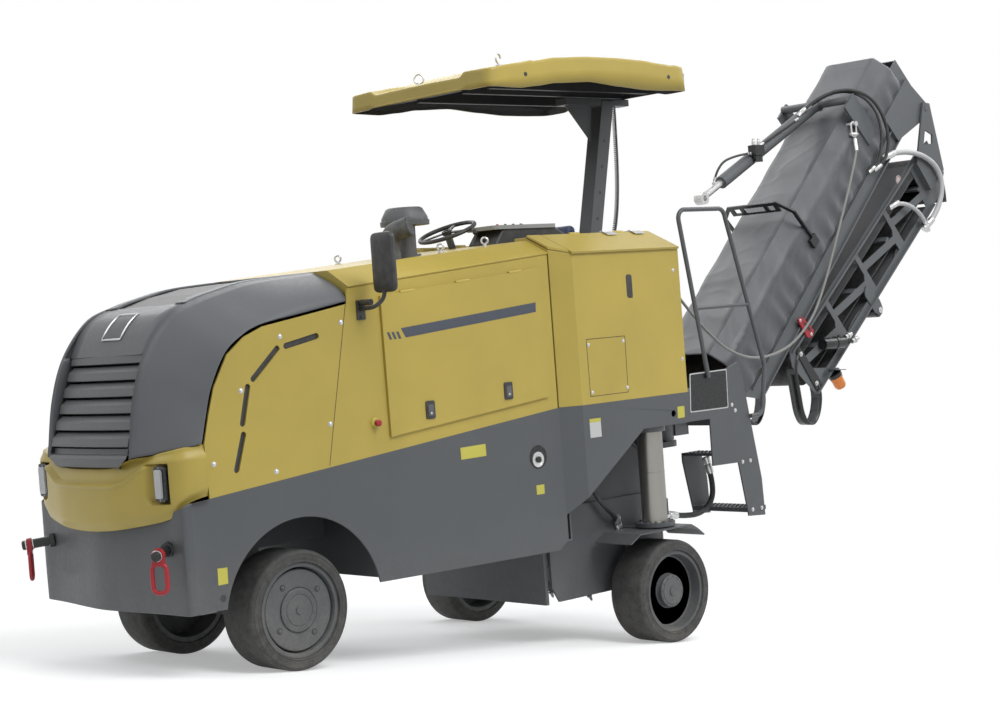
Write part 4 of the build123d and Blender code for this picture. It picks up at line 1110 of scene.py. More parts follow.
def make_louvres():
    """Bowed louvre blades over the plain lower panel, and black sheets of painted shade behind and beside
    them.
    """
    bm = bmesh.new()
    across = [-0.397 + 0.794 * k / 16 for k in range(17)]
    for i in range(6):
        z = 1.307 + 0.087 * i
        tip = nose_x(z)
        blade = []
        for y in across:
            back = 0.02 * (y / 0.39) ** 2 + 0.006
            blade.append([(tip + dx - back, y, z + dz) for dx, dz in LOUVRE])
        skin_rings(bm, blade, smooth=False)
    rows = []
    for z, inset in (
        (1.18, 0.05), (1.2, 0.008), (1.245, 0.0), (1.262, 0.008), (1.266, 0.03), (1.28, 0.034),
        (1.296, 0.03), (1.3, 0.05),
    ):
        share = 0.74 + 0.26 * min((z - 1.18) / 0.065, 1.0)
        rows.append([(nose_x(z) - inset - 0.02 * (y * share / 0.39) ** 2, y * share, z) for y in across])
    grid(bm, rows)
    louvres = piece("louvre_blades", bm, "slat grey", 0.003)
    # Black plate and side cheeks are painted shade for the dark space behind the louvres.
    bm = bmesh.new()
    solid(bm, [(0.77, -0.4, 1.2), (0.77, 0.4, 1.2), (0.53, 0.4, 1.86), (0.53, -0.4, 1.86)], (-0.006, 0, 0))
    for side in (-1, 1):
        cheek = [
            (nose_x(1.27) - 0.028, 1.27), (nose_x(1.5) - 0.028, 1.5), (nose_x(1.79) - 0.028, 1.79),
            (0.5, 1.8), (0.7, 1.27),
        ]
        side_plate(bm, cheek, side * 0.3975, side * 0.403)
    piece("louvre_painted_shade", bm, "black plastic")
    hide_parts("front_grille")


def make_badge():
    """Blank badge plate in its bright frame on the nose."""
    bm = bmesh.new()
    low, high = 2.42, 3.28
    rows = []
    for k in range(9):
        at = low + (high - low) * k / 8
        middle = hood_station(at)[2]
        ahead = hood_station(at + 0.01)[2]
        run = (ahead - middle).normalized()
        out = Vector((-run.y, 0, run.x)) * -1
        rows.append((middle, out))
    skin = []
    for middle, out in rows:
        skin.append(
            [Vector((middle.x, y, middle.y - 0.006)) + out * 0.004 for y in (-0.09, -0.03, 0.03, 0.09)]
        )
    grid(bm, skin, 1)
    edge = [Vector((m.x, -0.095, m.y - 0.006)) + o * 0.005 for m, o in rows]
    edge += [Vector((m.x, 0.095, m.y - 0.006)) + o * 0.005 for m, o in rows[::-1]]
    bar(bm, edge, 0.0055, 8, 0, True)
    piece("badge_plate", bm, "bright steel, badge grey")


def make_lamps():
    """Headlights with their black frames, reflectors and clear lenses."""
    for name, side in SIDES:
        y = side * 0.6
        bm = bmesh.new()
        frame = oblong(y - 0.046, 1.016, y + 0.046, 1.202, 0.016)
        solid(bm, [(0.742, a, b) for a, b in frame], (0.036, 0, 0))
        inner = oblong(y - 0.031, 1.034, y + 0.031, 1.184, 0.014)
        solid(bm, [(0.7775, a, b) for a, b in inner], (0.0025, 0, 0), 1)
        for z in (1.024, 1.194):
            turned(bm, (0.7775, y, z), (1, 0, 0), [(0, 0.004), (0.002, 0.0035), (0.002, 0)], 10, 1)
        for k in range(9):
            z = 1.046 + 0.0158 * k
            box(bm, (0.7795, y - 0.028, z - 0.0012), (0.7815, y + 0.028, z + 0.0012), 1)
        holder = piece(f"lamp_frame_{name}", bm, "gloss black, reflector", 0.003)
        bm = bmesh.new()
        glass = oblong(y - 0.033, 1.032, y + 0.033, 1.186, 0.016)
        solid(bm, [(0.779, a, b) for a, b in glass], (0.011, 0, 0))
        piece(f"lamp_lens_{name}", bm, "clear lens", 0.005)
        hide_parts(f"headlight_{name}")


def make_tow_pins():
    """Tow pins with their collars and hanging red rings."""
    for name, side in SIDES:
        bm = bmesh.new()
        root = Vector((0.742, side * 0.588, 0.768))
        aim = Vector((0.82, side * 0.54, -0.1)).normalized()
        turned(
            bm, root, aim,
            [
                (0, 0.038), (0.03, 0.038), (0.033, 0.027), (0.178, 0.027), (0.184, 0.021), (0.184, 0.012),
                (0.178, 0),
            ],
            28,
        )
        for at in (0.118, 0.157):
            turned(
                bm, root + aim * at, aim, [(0, 0.0285), (0, 0.0305), (0.007, 0.0305), (0.007, 0.0285)], 28,
                1,
            )
        turned(bm, root + aim * 0.127, aim, [(0, 0.028), (0, 0.036), (0.028, 0.036), (0.028, 0.028)], 28, 2)
        across = Vector((0, 0, 1)).cross(aim).normalized()
        centre = root + aim * 0.141
        lug = [(-0.03, -0.015), (0.03, -0.015), (0.034, -0.055), (-0.034, -0.055)]
        solid(bm, [centre - aim * 0.012 + across * a + Vector((0, 0, b)) for a, b in lug], aim * 0.028, 2)
        loop = oblong(-0.04, -0.045, 0.04, -0.195, 0.038, 8)
        bar(bm, [centre + across * a + Vector((0, 0, b)) for a, b in loop], 0.0125, 12, 2, True)
        piece(f"tow_pin_{name}", bm, "gloss black, bright steel, signal red", 0.002)


# Upper body


def eye_bolt(bm, at, size=0.024, slot=0, turn=0.6):
    """Lifting eye standing on a surface."""
    at = Vector(at)
    axis = (math.cos(turn), math.sin(turn), 0)
    turned(
        bm, at, (0, 0, 1), [(0, 0.018), (0.006, 0.018), (0.008, 0.01), (0.02, 0.009), (0.02, 0)], 16, slot
    )
    bar(bm, ring_points(at + Vector((0, 0, 0.016 + size)), axis, size, 24), 0.0065, 8, slot, True)


def deck_z(x, y):
    """Height of the top cover's outer face."""
    share = (-0.455 - x) / (2.028 - 0.455)
    top, edge = 2.172 + 0.121 * share, 2.072 + 0.133 * share
    if abs(y) <= 0.55:
        return top
    return top + (edge - top) * (abs(y) - 0.55) / 0.18


def make_top_fittings():
    """Lifting eyes, round caps, a black plate of painted shade for the cabinet's slot, and the lid hinges
    with their leaves.
    """
    bm = bmesh.new()
    for x, y in ((-1.36, 0.5), (-1.72, 0.5), (-1.36, -0.5), (-1.72, -0.5)):
        eye_bolt(bm, (x, y, deck_z(x, y) - 0.001), 0.02)
    for x, y, aim in ((-1.86, -0.16, 0.75), (-2.05, 0.39, 1.9), (-3.3, -0.5, 1.9)):
        eye_bolt(bm, (x, y, roof_top(x, y) - 0.002), 0.03, 0, aim)
    turned(
        bm, (-3.0, 0.3, roof_top(-3.0, 0.3) - 0.003), (0, 0, 1),
        [(0, 0.04), (0.014, 0.04), (0.034, 0.026), (0.04, 0)], 24,
    )
    piece("lifting_eyes", bm, "bright steel")
    bm = bmesh.new()
    for x, z in ((-1.994, 3.285), (-3.304, 3.305)):
        for side in (-1, 1):
            round_plate(bm, (x, side * 0.6815, z + 0.02), (0, side, 0), 0.014, 0.0035, 20)
    for k in range(4):
        z = 2.44 + 0.175 * k
        x = -2.85 - 0.418 * (z - POST_FOOT) / (3.24 - POST_FOOT)
        round_plate(bm, (x, 0.1545, z), (0, 1, 0), 0.0125, 0.001, 16)
    round_plate(bm, (0.526, SKIN - SUNK, 0.483), (0, 1, 0), 0.019, 0.0015, 24)
    # The cabinet's slot is a black plate on the surface: painted shade for the dark inside of the opening.
    slot = rounded([(-2.63, 2.042), (-2.684, 2.04), (-2.684, 1.892), (-2.63, 1.894)], 0.02)
    side_plate(bm, slot, CABINET - SUNK, 0.801)
    piece("roof_fittings", bm, "black plastic", 0.003)
    bm = bmesh.new()
    for side in (1, -1):
        for x in (-2.74, -3.0):
            round_plate(bm, (x - 0.045, side * 0.556, 2.3275), (1, 0, 0), 0.009, 0.09, 12)
            solid(
                bm,
                [
                    (x - 0.045, side * 0.56, 2.327), (x + 0.045, side * 0.56, 2.327),
                    (x + 0.045, side * 0.61, 2.305), (x - 0.045, side * 0.61, 2.305),
                ],
                (0, 0, 0.005),
            )
    piece("lid_hinges", bm, "bright steel", 0.001)
    for name, side in SIDES:
        bm = bmesh.new()
        for x in (-2.74, -3.0):
            solid(
                bm,
                [
                    (x - 0.045, side * 0.5, 2.3235), (x + 0.045, side * 0.5, 2.3235),
                    (x + 0.045, side * 0.552, 2.3235), (x - 0.045, side * 0.552, 2.3235),
                ],
                (0, 0, 0.0055),
            )
            for a in (-0.025, 0.025):
                bolt(bm, (x + a, side * 0.525, 2.3285), (0, 0, 1), 0.006)
        piece("lid_leaves_" + name, bm, "bright steel", 0.001, body="lid_" + name)


def make_mirror():
    """Moulded mirror head with its glass to the rear."""
    bm = bmesh.new()
    outline = oblong(0.807, 2.022, 0.993, 2.358, 0.04, 6)
    rows = []
    for x, shrink in ((-0.6, 0.004), (-0.585, 0.0), (-0.572, 0.004), (-0.562, 0.02), (-0.558, 0.05)):
        rows.append(
            [
                (x, 0.9 + (y - 0.9) * (1 - shrink / 0.093), 2.19 + (z - 2.19) * (1 - shrink / 0.168))
                for y, z in outline
            ]
        )
    skin_rings(bm, rows, smooth=False)
    glass = oblong(0.818, 2.034, 0.982, 2.346, 0.032, 6)
    solid(bm, [(-0.6, y, z) for y, z in glass], (-0.002, 0, 0), 1)
    for k in range(3):
        z = 2.08 + 0.11 * k
        bar(bm, [(-0.566, 0.83, z), (-0.563, 0.9, z), (-0.566, 0.97, z)], 0.003, 6, 0)
    arm = bend(
        [(-0.53, 0.734, 1.94), (-0.53, 0.86, 1.945), (-0.575, 0.895, 1.99), (-0.58, 0.9, 2.06)], 0.04
    )
    bar(bm, arm, 0.012, 12)
    box(bm, (-0.56, 0.73, 1.88), (-0.5, 0.737, 1.99))
    bar(bm, [(-0.53, 0.74, 1.975), (-0.53, 0.83, 1.975)], 0.018, 14)
    for z in (1.895, 1.975):
        bolt(bm, (-0.53, 0.736, z), (0, 1, 0), 0.008, 0)
    mirror = piece("mirror_head", bm, "black plastic, mirror glass")
    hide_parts("mirror_left")


def make_air_intake():
    """Pre-cleaner bowl with its ribbed lid, and the exhaust's elbow with a gloss black disc of painted
    shade in its mouth.
    """
    bm = bmesh.new()
    base = deck_z(-1.265, 0.3) - 0.004
    rise = 2.532 - base
    profile = [
        (0, 0.085), (0.02, 0.085), (0.02, 0.06), (rise - 0.112, 0.06), (rise - 0.108, 0.148),
        (rise - 0.082, 0.15),
    ]
    profile += [(rise - 0.078, 0.142), (rise - 0.06, 0.14), (rise - 0.008, 0.112), (rise, 0.1), (rise, 0)]
    turned(bm, (-1.265, 0.3, base), (0, 0, 1), profile, 40)
    for k in range(24):
        angle = 2 * math.pi * k / 24
        spot = Vector((-1.265 + 0.143 * math.cos(angle), 0.3 + 0.143 * math.sin(angle), 2.435))
        box(bm, spot - Vector((0.003, 0.003, 0.008)), spot + Vector((0.003, 0.003, 0.02)))
    intake = piece("intake_bowl", bm, "grey plastic")
    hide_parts("air_cleaner")
    bm = bmesh.new()
    base = deck_z(-1.07, 0.4) - 0.004
    path = bend([(-1.065, 0.38, base), (-1.065, 0.38, 2.37), (-1.13, 0.5, 2.41)], 0.08, 8)
    bar(bm, path, 0.06, 32)
    # Gloss black disc just inside the pipe's mouth is painted shade for the dark inside of the pipe.
    bar(bm, [(-1.1265, 0.4935, 2.4078), (-1.1315, 0.5028, 2.4109)], 0.055, 32, 1)
    turned(
        bm, (-1.065, 0.38, base), (0, 0, 1),
        [(0, 0.095), (0.008, 0.095), (0.012, 0.066), (0.05, 0.064), (0.05, 0)], 32,
    )
    stack = piece("exhaust_stack", bm, "cast iron, gloss black")
    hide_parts("exhaust_pipe")


def make_seat():
    """Cushion and back of the driver's seat, in blue vinyl with sewn channels."""
    parts = (
        ("seat_cushion", (-2.735, -0.22, 1.941), (0.42, 0.41, 0.098), 0.0),
        ("seat_back", (-2.96, -0.22, 2.155), (0.11, 0.41, 0.52), -11.6),
    )
    for name, centre, size, lean in parts:
        bm = bmesh.new()
        bmesh.ops.create_cube(bm, size=1.0)
        bmesh.ops.subdivide_edges(bm, edges=bm.edges[:], cuts=11, use_grid_fill=True)
        flat = 2 if name == "seat_cushion" else 0
        for vert in bm.verts:
            p = vert.co.copy()
            side = [abs(p[i]) * 2 for i in range(3)]
            others = [i for i in range(3) if i != flat]
            crown = (1 - side[others[0]] ** 4) * (1 - side[others[1]] ** 4)
            for i in range(3):
                p[i] *= size[i]
            p[flat] *= 0.72 + 0.28 * crown
            pull = 0.94 + 0.06 * (1 - side[flat] ** 2)
            for i in others:
                p[i] *= pull
            long = p[0] if flat == 2 else p[2]
            if crown > 0.2:
                p[flat] -= math.copysign(0.006 * math.exp(-((long % 0.09) - 0.045) ** 2 / 0.00008), p[flat])
            vert.co = p
        place = BODY @ Matrix.Translation(centre) @ Matrix.Rotation(math.radians(lean), 4, "Y")
        cushion = piece(name, bm, "seat vinyl", place=place)
        smoothing = cushion.modifiers.new("soft form", "SUBSURF")
        smoothing.levels = 1
        smoothing.render_levels = 1
    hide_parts("seat")


def make_controls():
    """Knobs, levers and gauge panel on the console."""
    bm = bmesh.new()
    box(bm, (-2.52, 0.0, 2.401), (-2.16, 0.23, 2.412), 1)
    for k in range(4):
        turned(
            bm, (-2.2 - 0.07 * k, 0.05, 2.41), (0, 0, 1),
            [(0, 0.018), (0.006, 0.018), (0.007, 0.014), (0.007, 0)], 18, 2,
        )
        turned(
            bm, (-2.2 - 0.07 * k, 0.11, 2.41), (0, 0, 1), [(0, 0.01), (0.016, 0.009), (0.018, 0)], 14,
            3 if k == 0 else 0,
        )
    turned(
        bm, (-2.03, 0.07, 2.315), (-0.3, 0, 1),
        [(0, 0.01), (0.05, 0.01), (0.06, 0.024), (0.085, 0.022), (0.095, 0)], 18,
    )
    lid = oblong(-2.6, -0.03, -2.035, 0.26, 0.05, 5)
    solid(bm, [(x, y, 2.386) for x, y in lid], (0, 0, 0.026), 4)
    piece(
        "console_controls", bm,
        "black plastic, grey plastic, bright steel, signal red, pale grey", 0.001,
    )


# Labels, steps and seams


LABELS = [
    ([(-1.196, 1.091), (-1.395, 1.094), (-1.396, 1.023), (-1.197, 1.021)], SKIN, 0),
    ([(-1.785, 0.8), (-1.852, 0.8), (-1.85, 0.742), (-1.785, 0.743)], SKIN, 0),
    ([(-3.028, 1.165), (-3.095, 1.166), (-3.093, 1.092), (-3.026, 1.09)], CABINET, 0),
    ([(0.549, 0.642), (0.487, 0.64), (0.489, 0.555), (0.551, 0.554)], SKIN, 0),
    ([(-2.211, 1.162), (-2.31, 1.162), (-2.31, 1.045), (-2.211, 1.045)], CABINET, 1),
    ([(-2.211, 1.162), (-2.31, 1.162), (-2.31, 1.14), (-2.211, 1.14)], 0.8008, 0),
]


def make_labels():
    """Blank labels, panel seams, filler cap and the step's sign board."""
    bm = bmesh.new()
    for points, y, finish in LABELS:
        side_plate(bm, points, y, y + 0.0012, finish)
    solid(
        bm, [(0.7445, 0.565, 0.64), (0.7385, 0.61, 0.64), (0.7385, 0.61, 0.56), (0.7445, 0.565, 0.56)],
        (0.002, 0.0006, 0),
    )
    piece("blank_labels", bm, "label yellow, label white")
    bm = bmesh.new()
    for side in (-1, 1):
        y = side * CABINET
        run = [(-2.234, 1.655), (-2.582, 1.655), (-2.578, 1.3), (-2.238, 1.3)]
        for a, b in zip(run, run[1:] + run[:1]):
            seam_strip(bm, a, b, y, side)
    for side in (-1, 1):
        y = side * SKIN
        seam_strip(bm, (-0.429, 1.985), (-0.234, 1.094), y, side)
    piece("panel_seams", bm, "gloss black")
    bm = bmesh.new()
    round_plate(bm, (-1.819, SKIN - SUNK, 0.97), (0, 1, 0), 0.072, 0.0015, 36)
    turned(
        bm, (-1.812, 0.73, 0.955), (0, 1, 0),
        [(0.001, 0.048), (0.008, 0.047), (0.01, 0.036), (0.006, 0.032), (0.006, 0)], 32, 1,
    )
    turned(bm, (-1.812, 0.734, 0.955), (0, 1, 0), [(0.001, 0.02), (0.012, 0.019), (0.014, 0)], 24)
    piece("filler_cap", bm, "gloss black, bright steel")
    bm = bmesh.new()
    board = rounded([(-3.168, 1.369), (-3.54, 1.373), (-3.532, 1.113), (-3.15, 1.115)], 0.012)
    side_plate(bm, board, CABINET, 0.802, 1)
    inner = rounded([(-3.176, 1.361), (-3.532, 1.365), (-3.524, 1.121), (-3.158, 1.123)], 0.01)
    side_plate(bm, inner, 0.8015, 0.8028)
    piece("sign_board", bm, "gloss black, label white")


def seam_strip(bm, a, b, y, side):
    """Fine dark line of a panel joint."""
    run = (Vector(b) - Vector(a)).normalized() * 0.0017
    across = (-run.y, run.x)
    outline = [(a[0] + across[0], a[1] + across[1]), (b[0] + across[0], b[1] + across[1])]
    outline += [(b[0] - across[0], b[1] - across[1]), (a[0] - across[0], a[1] - across[1])]
    side_plate(bm, outline, y, y + side * 0.0008)


def make_steps():
    """Grip teeth and bolts on the steps."""
    for name, side in SIDES:
        bm = bmesh.new()
        for x0, x1, z in ((-3.85, -3.67, 0.4255), (-3.76, -3.6, 0.8005), (-3.66, -3.18, 1.2405)):
            low_y = 0.325 if z < 1 else 0.46
            count = int((0.78 - low_y) / 0.035)
            for k in range(count):
                y = side * (low_y + 0.02 + 0.035 * k)
                for x in (x0 + 0.035, (x0 + x1) / 2, x1 - 0.035):
                    turned(
                        bm, (x, y, z - 0.001), (0, 0, 1),
                        [(0, 0.011), (0.005, 0.009), (0.005, 0.006), (0.002, 0.005), (0.002, 0)], 10,
                    )
        for x, z in (
            (-3.805, 0.41), (-3.71, 0.41), (-3.72, 0.74), (-3.64, 0.74), (-3.6, 1.09), (-3.57, 1.13)
        ):
            bolt(bm, (x, side * CABINET, z), (0, side, 0), 0.009, 1)
        piece(f"step_grips_{name}", bm, "worn step, bright steel")


# Legs and milling gear


def make_leg_details():
    """Flange bolts and weld line of the lifting legs, and a black plate of painted shade for each leg's
    slot.
    """
    for name, y, body in (("left", LEFT_LEG_Y, "rear_leg_left"), ("right", RIGHT_LEG_Y, "rear_leg_right")):
        bm = bmesh.new()
        for k in range(12):
            angle = 2 * math.pi * (k + 0.5) / 12
            bolt(
                bm, (REAR_AXLE + 0.108 * math.cos(angle), y + 0.108 * math.sin(angle), 0.435), (0, 0, 1),
                0.009,
            )
        bar(bm, ring_points((REAR_AXLE, y, 0.76), (0, 0, 1), 0.0825, 40), 0.0022, 6, 1, True)
        bar(bm, ring_points((REAR_AXLE, y, 0.437), (0, 0, 1), 0.086, 40), 0.005, 6, 1, True)
        piece(f"leg_flange_{name}", bm, "machine grey, column steel", body=body)
        # The slot is a black plate on the surface: painted shade for the dark inside of the opening.
        bm = bmesh.new()
        slot = oblong(-2.952, 0.47, -2.934, 0.58, 0.008)
        solid(bm, [(x, y + 0.05, z) for x, z in slot], (0, 0.0045, 0))
        piece(f"leg_slot_painted_shade_{name}", bm, "gloss black", body=body)


def make_drum_picks():
    """Carbide tips, collars and welded holders' seats on the drum."""
    bm = bmesh.new()
    middle = (0.42 - 0.585) / 2
    pitch = ((0.42 + 0.585) / 2 - 0.048) / 21
    for side in (-1, 1):
        for i in range(22):
            y = middle + side * (0.024 + pitch * i)
            turn = math.radians(52 * i + (180 if side < 0 else 0))
            spin = Matrix.Translation((-2.65, y, 0.35)) @ Matrix.Rotation(turn, 4, "Y")
            spin = spin @ Matrix.Translation((0, 0, 0.33))
            aim = spin.to_3x3() @ Vector((0.72, 0, 0.69))
            spot = spin @ Vector((0.045, 0, 0.047))
            turned(
                bm, spot, aim,
                [
                    (0, 0.0175), (0.006, 0.0175), (0.007, 0.013), (0.022, 0.0105), (0.03, 0.009),
                    (0.034, 0.009), (0.044, 0.003), (0.045, 0),
                ],
                12,
            )
            base = spin @ Vector((0.0, 0, 0.003))
            out = spin.to_3x3() @ Vector((0, 0, 1))
            turned(bm, base, out, [(0, 0.052), (0.004, 0.05), (0.008, 0.04), (0.008, 0)], 12, 1)
    piece("drum_tips", bm, "carbide, drum steel", body="drum")


# Bumper and skirt shells

BUMPER_STATIONS = [
    (0.566, 0.7315, 1.026, 1.293),
    (0.640, 0.724, 1.012, 1.287),
    (0.700, 0.706, 0.988, 1.281),
    (0.745, 0.666, 0.94, 1.273),
    (0.775, 0.600, 0.914, 1.262),
    (0.802, 0.525, 0.9, 1.246),
    (0.833, 0.400, 0.882, 1.234),
    (0.862, 0.262, 0.866, 1.19),
    (0.872, 0.130, 0.857, 1.182),
    (0.875, 0.0, 0.853, 1.182),
]


def mirrored(stations):
    """Stations of one side continued across the middle to the other."""
    return stations + [(x, -y, *rest) for x, y, *rest in stations[-2::-1]]


def swept_rows(stations, count):
    """Smooth (place, outward direction, rest) along stations in plan."""
    result = []
    last = len(stations) - 1
    for k in range(count + 1):
        at = last * k / count
        here = smooth_between(stations, min(at, last - 1e-6))
        ahead = smooth_between(stations, min(at + 0.01, last - 1e-6))
        behind = smooth_between(stations, max(at - 0.01, 0))
        run = Vector((ahead[0] - behind[0], ahead[1] - behind[1])).normalized()
        out = Vector((-run.y, run.x))
        if out.x < 0:
            out = -out
        result.append((Vector(here[0:2]), out, here[2:]))
    return result


def bumper_offset(y, z, low, high):
    """How far the bumper's face stands out at a place on it."""
    side = abs(y)
    ledge = 1.108 + 0.1 * ease(side, 0.27, 0.56)
    amount = 1 - ease(side, 0.5, 0.62)
    face = -0.014 * (1 - ease(z, low, low + 0.05)) + 0.006 * ease(z, low, low + 0.12)
    face -= amount * 0.024 * ease(z, ledge - 0.006, ledge + 0.008)
    face += amount * 0.007 * ease(z, ledge - 0.022, ledge - 0.012) * (
        1 - ease(z, ledge - 0.004, ledge + 0.002)
    )
    face -= 0.02 * ease(z, ledge + 0.01, high)
    across = ease(side, 0.485, 0.553) * (1 - ease(side, 0.648, 0.656))
    tall = ease(z, 1.0, 1.01 + 0.05 * (1 - ease(side, 0.5, 0.56))) * (1 - ease(z, 1.206, 1.214))
    return face - 0.042 * across * tall


def make_bumper():
    """Pressed bumper with its ledge, rolled edges and lamp pockets."""
    bm = bmesh.new()
    rows = []
    for place, out, (low, high) in swept_rows(mirrored(BUMPER_STATIONS), 300):
        profile = [(-0.05, low + 0.004), (-0.02, low - 0.001)]
        for k in range(73):
            z = low + (high - low) * k / 72
            profile.append((bumper_offset(place.y, z, low, high), z))
        profile += [(-0.024, high + 0.005), (-0.034, high + 0.006), (-0.06, high + 0.004)]
        rows.append([(place.x + out.x * d, place.y + out.y * d, z) for d, z in profile])
    grid(bm, rows)
    bumper = piece("bumper_shell", bm, "machine yellow")
    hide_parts("front_bumper")
    bm = bmesh.new()
    rows = []
    stations = [
        (0.575, 0.733, 1.008), (0.64, 0.7335, 1.004), (0.69, 0.7335, 0.998), (0.727, 0.728, 0.988),
        (0.739, 0.7, 0.975),
    ]
    stations += [(0.748, 0.575, 0.95), (0.768, 0.4, 0.95), (0.796, 0.2, 0.95), (0.8135, 0.0, 0.95)]
    for place, out, (top,) in swept_rows(mirrored(stations), 120):
        profile = [
            (-0.004, SKIRT_LOW - 0.001), (0.0, SKIRT_LOW + 0.003), (0.0015, SKIRT_LOW + 0.2),
            (0.0, top - 0.004), (-0.003, top), (-0.02, top),
        ]
        rows.append([(place.x + out.x * d, place.y + out.y * d, z) for d, z in profile])
    grid(bm, rows)
    piece("skirt_front", bm, "machine grey")


ROOF_SIDE = [
    (-1.69, 3.228, 3.338),
    (-1.95, 3.222, 3.374),
    (-2.1, 3.238, 3.402),
    (-2.265, 3.26, 3.426),
    (-2.56, 3.274, 3.442),
    (-2.83, 3.252, 3.443),
    (-3.07, 3.236, 3.436),
    (-3.25, 3.236, 3.42),
    (-3.49, 3.24, 3.398),
]


def roof_edge(x):
    """Lower and upper height of the roof's side at a place along it."""
    for (x0, *low), (x1, *high) in zip(ROOF_SIDE, ROOF_SIDE[1:]):
        if x >= x1:
            t = (x - x0) / (x1 - x0)
            t = (t + t * t * (3 - 2 * t)) / 2
            return [a + (b - a) * t for a, b in zip(low, high)]
    return ROOF_SIDE[-1][1:]


def roof_top(x, y):
    """Height of the roof's outer skin."""
    top = roof_edge(x)[1] + 0.012 * (1 - (abs(y) / 0.68) ** 2)
    inset = (1 - ease(abs(y), 0.41, 0.46)) * (1 - ease(-x, 1.93, 2.0))
    rib = ease(abs(abs(y) - 0.3), 0.1, 0.115) * ease(-x, 2.05, 2.08) * (1 - ease(-x, 3.35, 3.38))
    return top - 0.03 * inset - 0.008 * rib


def make_roof(wall):
    """Moulded roof with its arched sides over its cross members, its inside painted a flat dark colour as
    painted shade.
    """
    corners = rounded([(-1.69, -0.68), (-1.69, 0.68), (-3.49, 0.68), (-3.49, -0.68)], 0.075, 6)
    outline = []
    for a, b in zip(corners, corners[1:] + corners[:1]):
        steps = max(1, int(math.dist(a, b) / 0.025))
        for k in range(steps):
            outline.append((a[0] + (b[0] - a[0]) * k / steps, a[1] + (b[1] - a[1]) * k / steps))
    outline.append(outline[0])
    middle = (-2.59, 0.0)
    rings = []
    for share in [k / 44 for k in range(1, 44)] + [0.988]:
        ring = []
        for x, y in outline:
            px, py = middle[0] + (x - middle[0]) * share, middle[1] + (y - middle[1]) * share
            ring.append((px, py, roof_top(px, py)))
        rings.append(ring)
    for drop, out in (
        (0.002, 0.9945), (0.008, 0.999), (0.02, 1.0), (0.05, 1.0025), (0.08, 1.005), (1.0, 1.008)
    ):
        ring = []
        for x, y in outline:
            low = roof_edge(x)[0] + 0.018 * (1 - ease(abs(y), 0.4, 0.5))
            px, py = middle[0] + (x - middle[0]) * out, middle[1] + (y - middle[1]) * out
            ring.append((px, py, max(low, roof_top(x, y) - drop)))
        rings.append(ring)
    bm = bmesh.new()
    made = grid(bm, rings)
    bm.faces.new(made[0][:-1])
    bmesh.ops.remove_doubles(bm, verts=bm.verts, dist=0.0001)
    roof = piece("roof_shell", bm, "machine yellow, roof lining")
    thicken(roof, wall)
    # The inner wall, which faces down, takes the dark painted shade.
    roof.modifiers["wall"].material_offset = 1
    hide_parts("canopy_roof")
    # The cross members under the roof carry the same dark painted shade.
    bm = bmesh.new()
    for x in (-2.0, -3.47):
        low = roof_edge(x)[1] - 0.1
        box(bm, (x - 0.02, -0.655, low), (x + 0.02, 0.655, low + 0.06))
    for y in (-0.34, 0.34, 0.1):
        box(bm, (-3.45, y - 0.02, 3.262), (-2.0, y + 0.02, 3.35))
    piece("roof_frame", bm, "roof lining", 0.003)


def blacken_guard():
    """Gloss black on the windowed plate over the conveyor's cover."""
    thing = NODES["conveyor_frame"]
    thing.data.materials.append(bpy.data.materials["gloss black"])
    inverse = CONVEYOR.inverted()
    for face in thing.data.polygons:
        centre = inverse @ face.center
        if -1.385 < centre.x < -1.295 and centre.z > -0.31 and (abs(centre.y) > 0.3005 or centre.z > 0.0):
            face.material_index = 1


def make_tail_backing():
    """Dark cloth sheets of painted shade inside the folded section, its wide end loops and their tie
    plates.
    """
    bm = bmesh.new()
    # Far side sheet and two sheets across are painted shade, darkening the view through the truss.
    side_plate(bm, [(0.2, -0.24), (2.53, -0.24), (2.53, -0.64), (0.4, -0.64)], -0.285, -0.281)
    box(bm, (0.3, -0.288, -0.33), (2.5, 0.288, -0.326))
    box(bm, (0.5, -0.288, -0.604), (2.42, 0.288, -0.6))
    piece("tail_painted_shade", bm, "flap cloth", body="tail", place=TAIL)
    for name, side in SIDES:
        bm = bmesh.new()
        loop = bend(
            [
                (2.53, 0, -0.26), (2.66, 0, -0.33), (2.83, 0, -0.62), (2.845, 0, -0.72), (2.79, 0, -0.782),
                (2.69, 0, -0.772), (2.58, 0, -0.7), (2.53, 0, -0.61),
            ],
            0.06, 6,
        )
        grid(bm, [[(p.x, side * 0.315, p.z), (p.x, side * 0.222, p.z)] for p in loop])
        band = piece(f"end_loop_{name}", bm, "gloss black", body="tail", place=TAIL)
        thicken(band, 0.014)
        bm = bmesh.new()
        plate = rounded([(2.5, -0.25), (2.56, -0.25), (2.585, -0.62), (2.53, -0.66), (2.5, -0.6)], 0.015)
        side_plate(bm, plate, side * 0.3, side * 0.31)
        for x, z in ((2.53, -0.3), (2.55, -0.58)):
            bolt(bm, (x, side * 0.31, z), (0, side, 0), 0.012, 1)
        piece(
            f"loop_plate_{name}", bm, "gloss black, bright steel", 0.002, body="tail", place=TAIL
        )


# Hoses, cables and ropes, in the machine's level frame


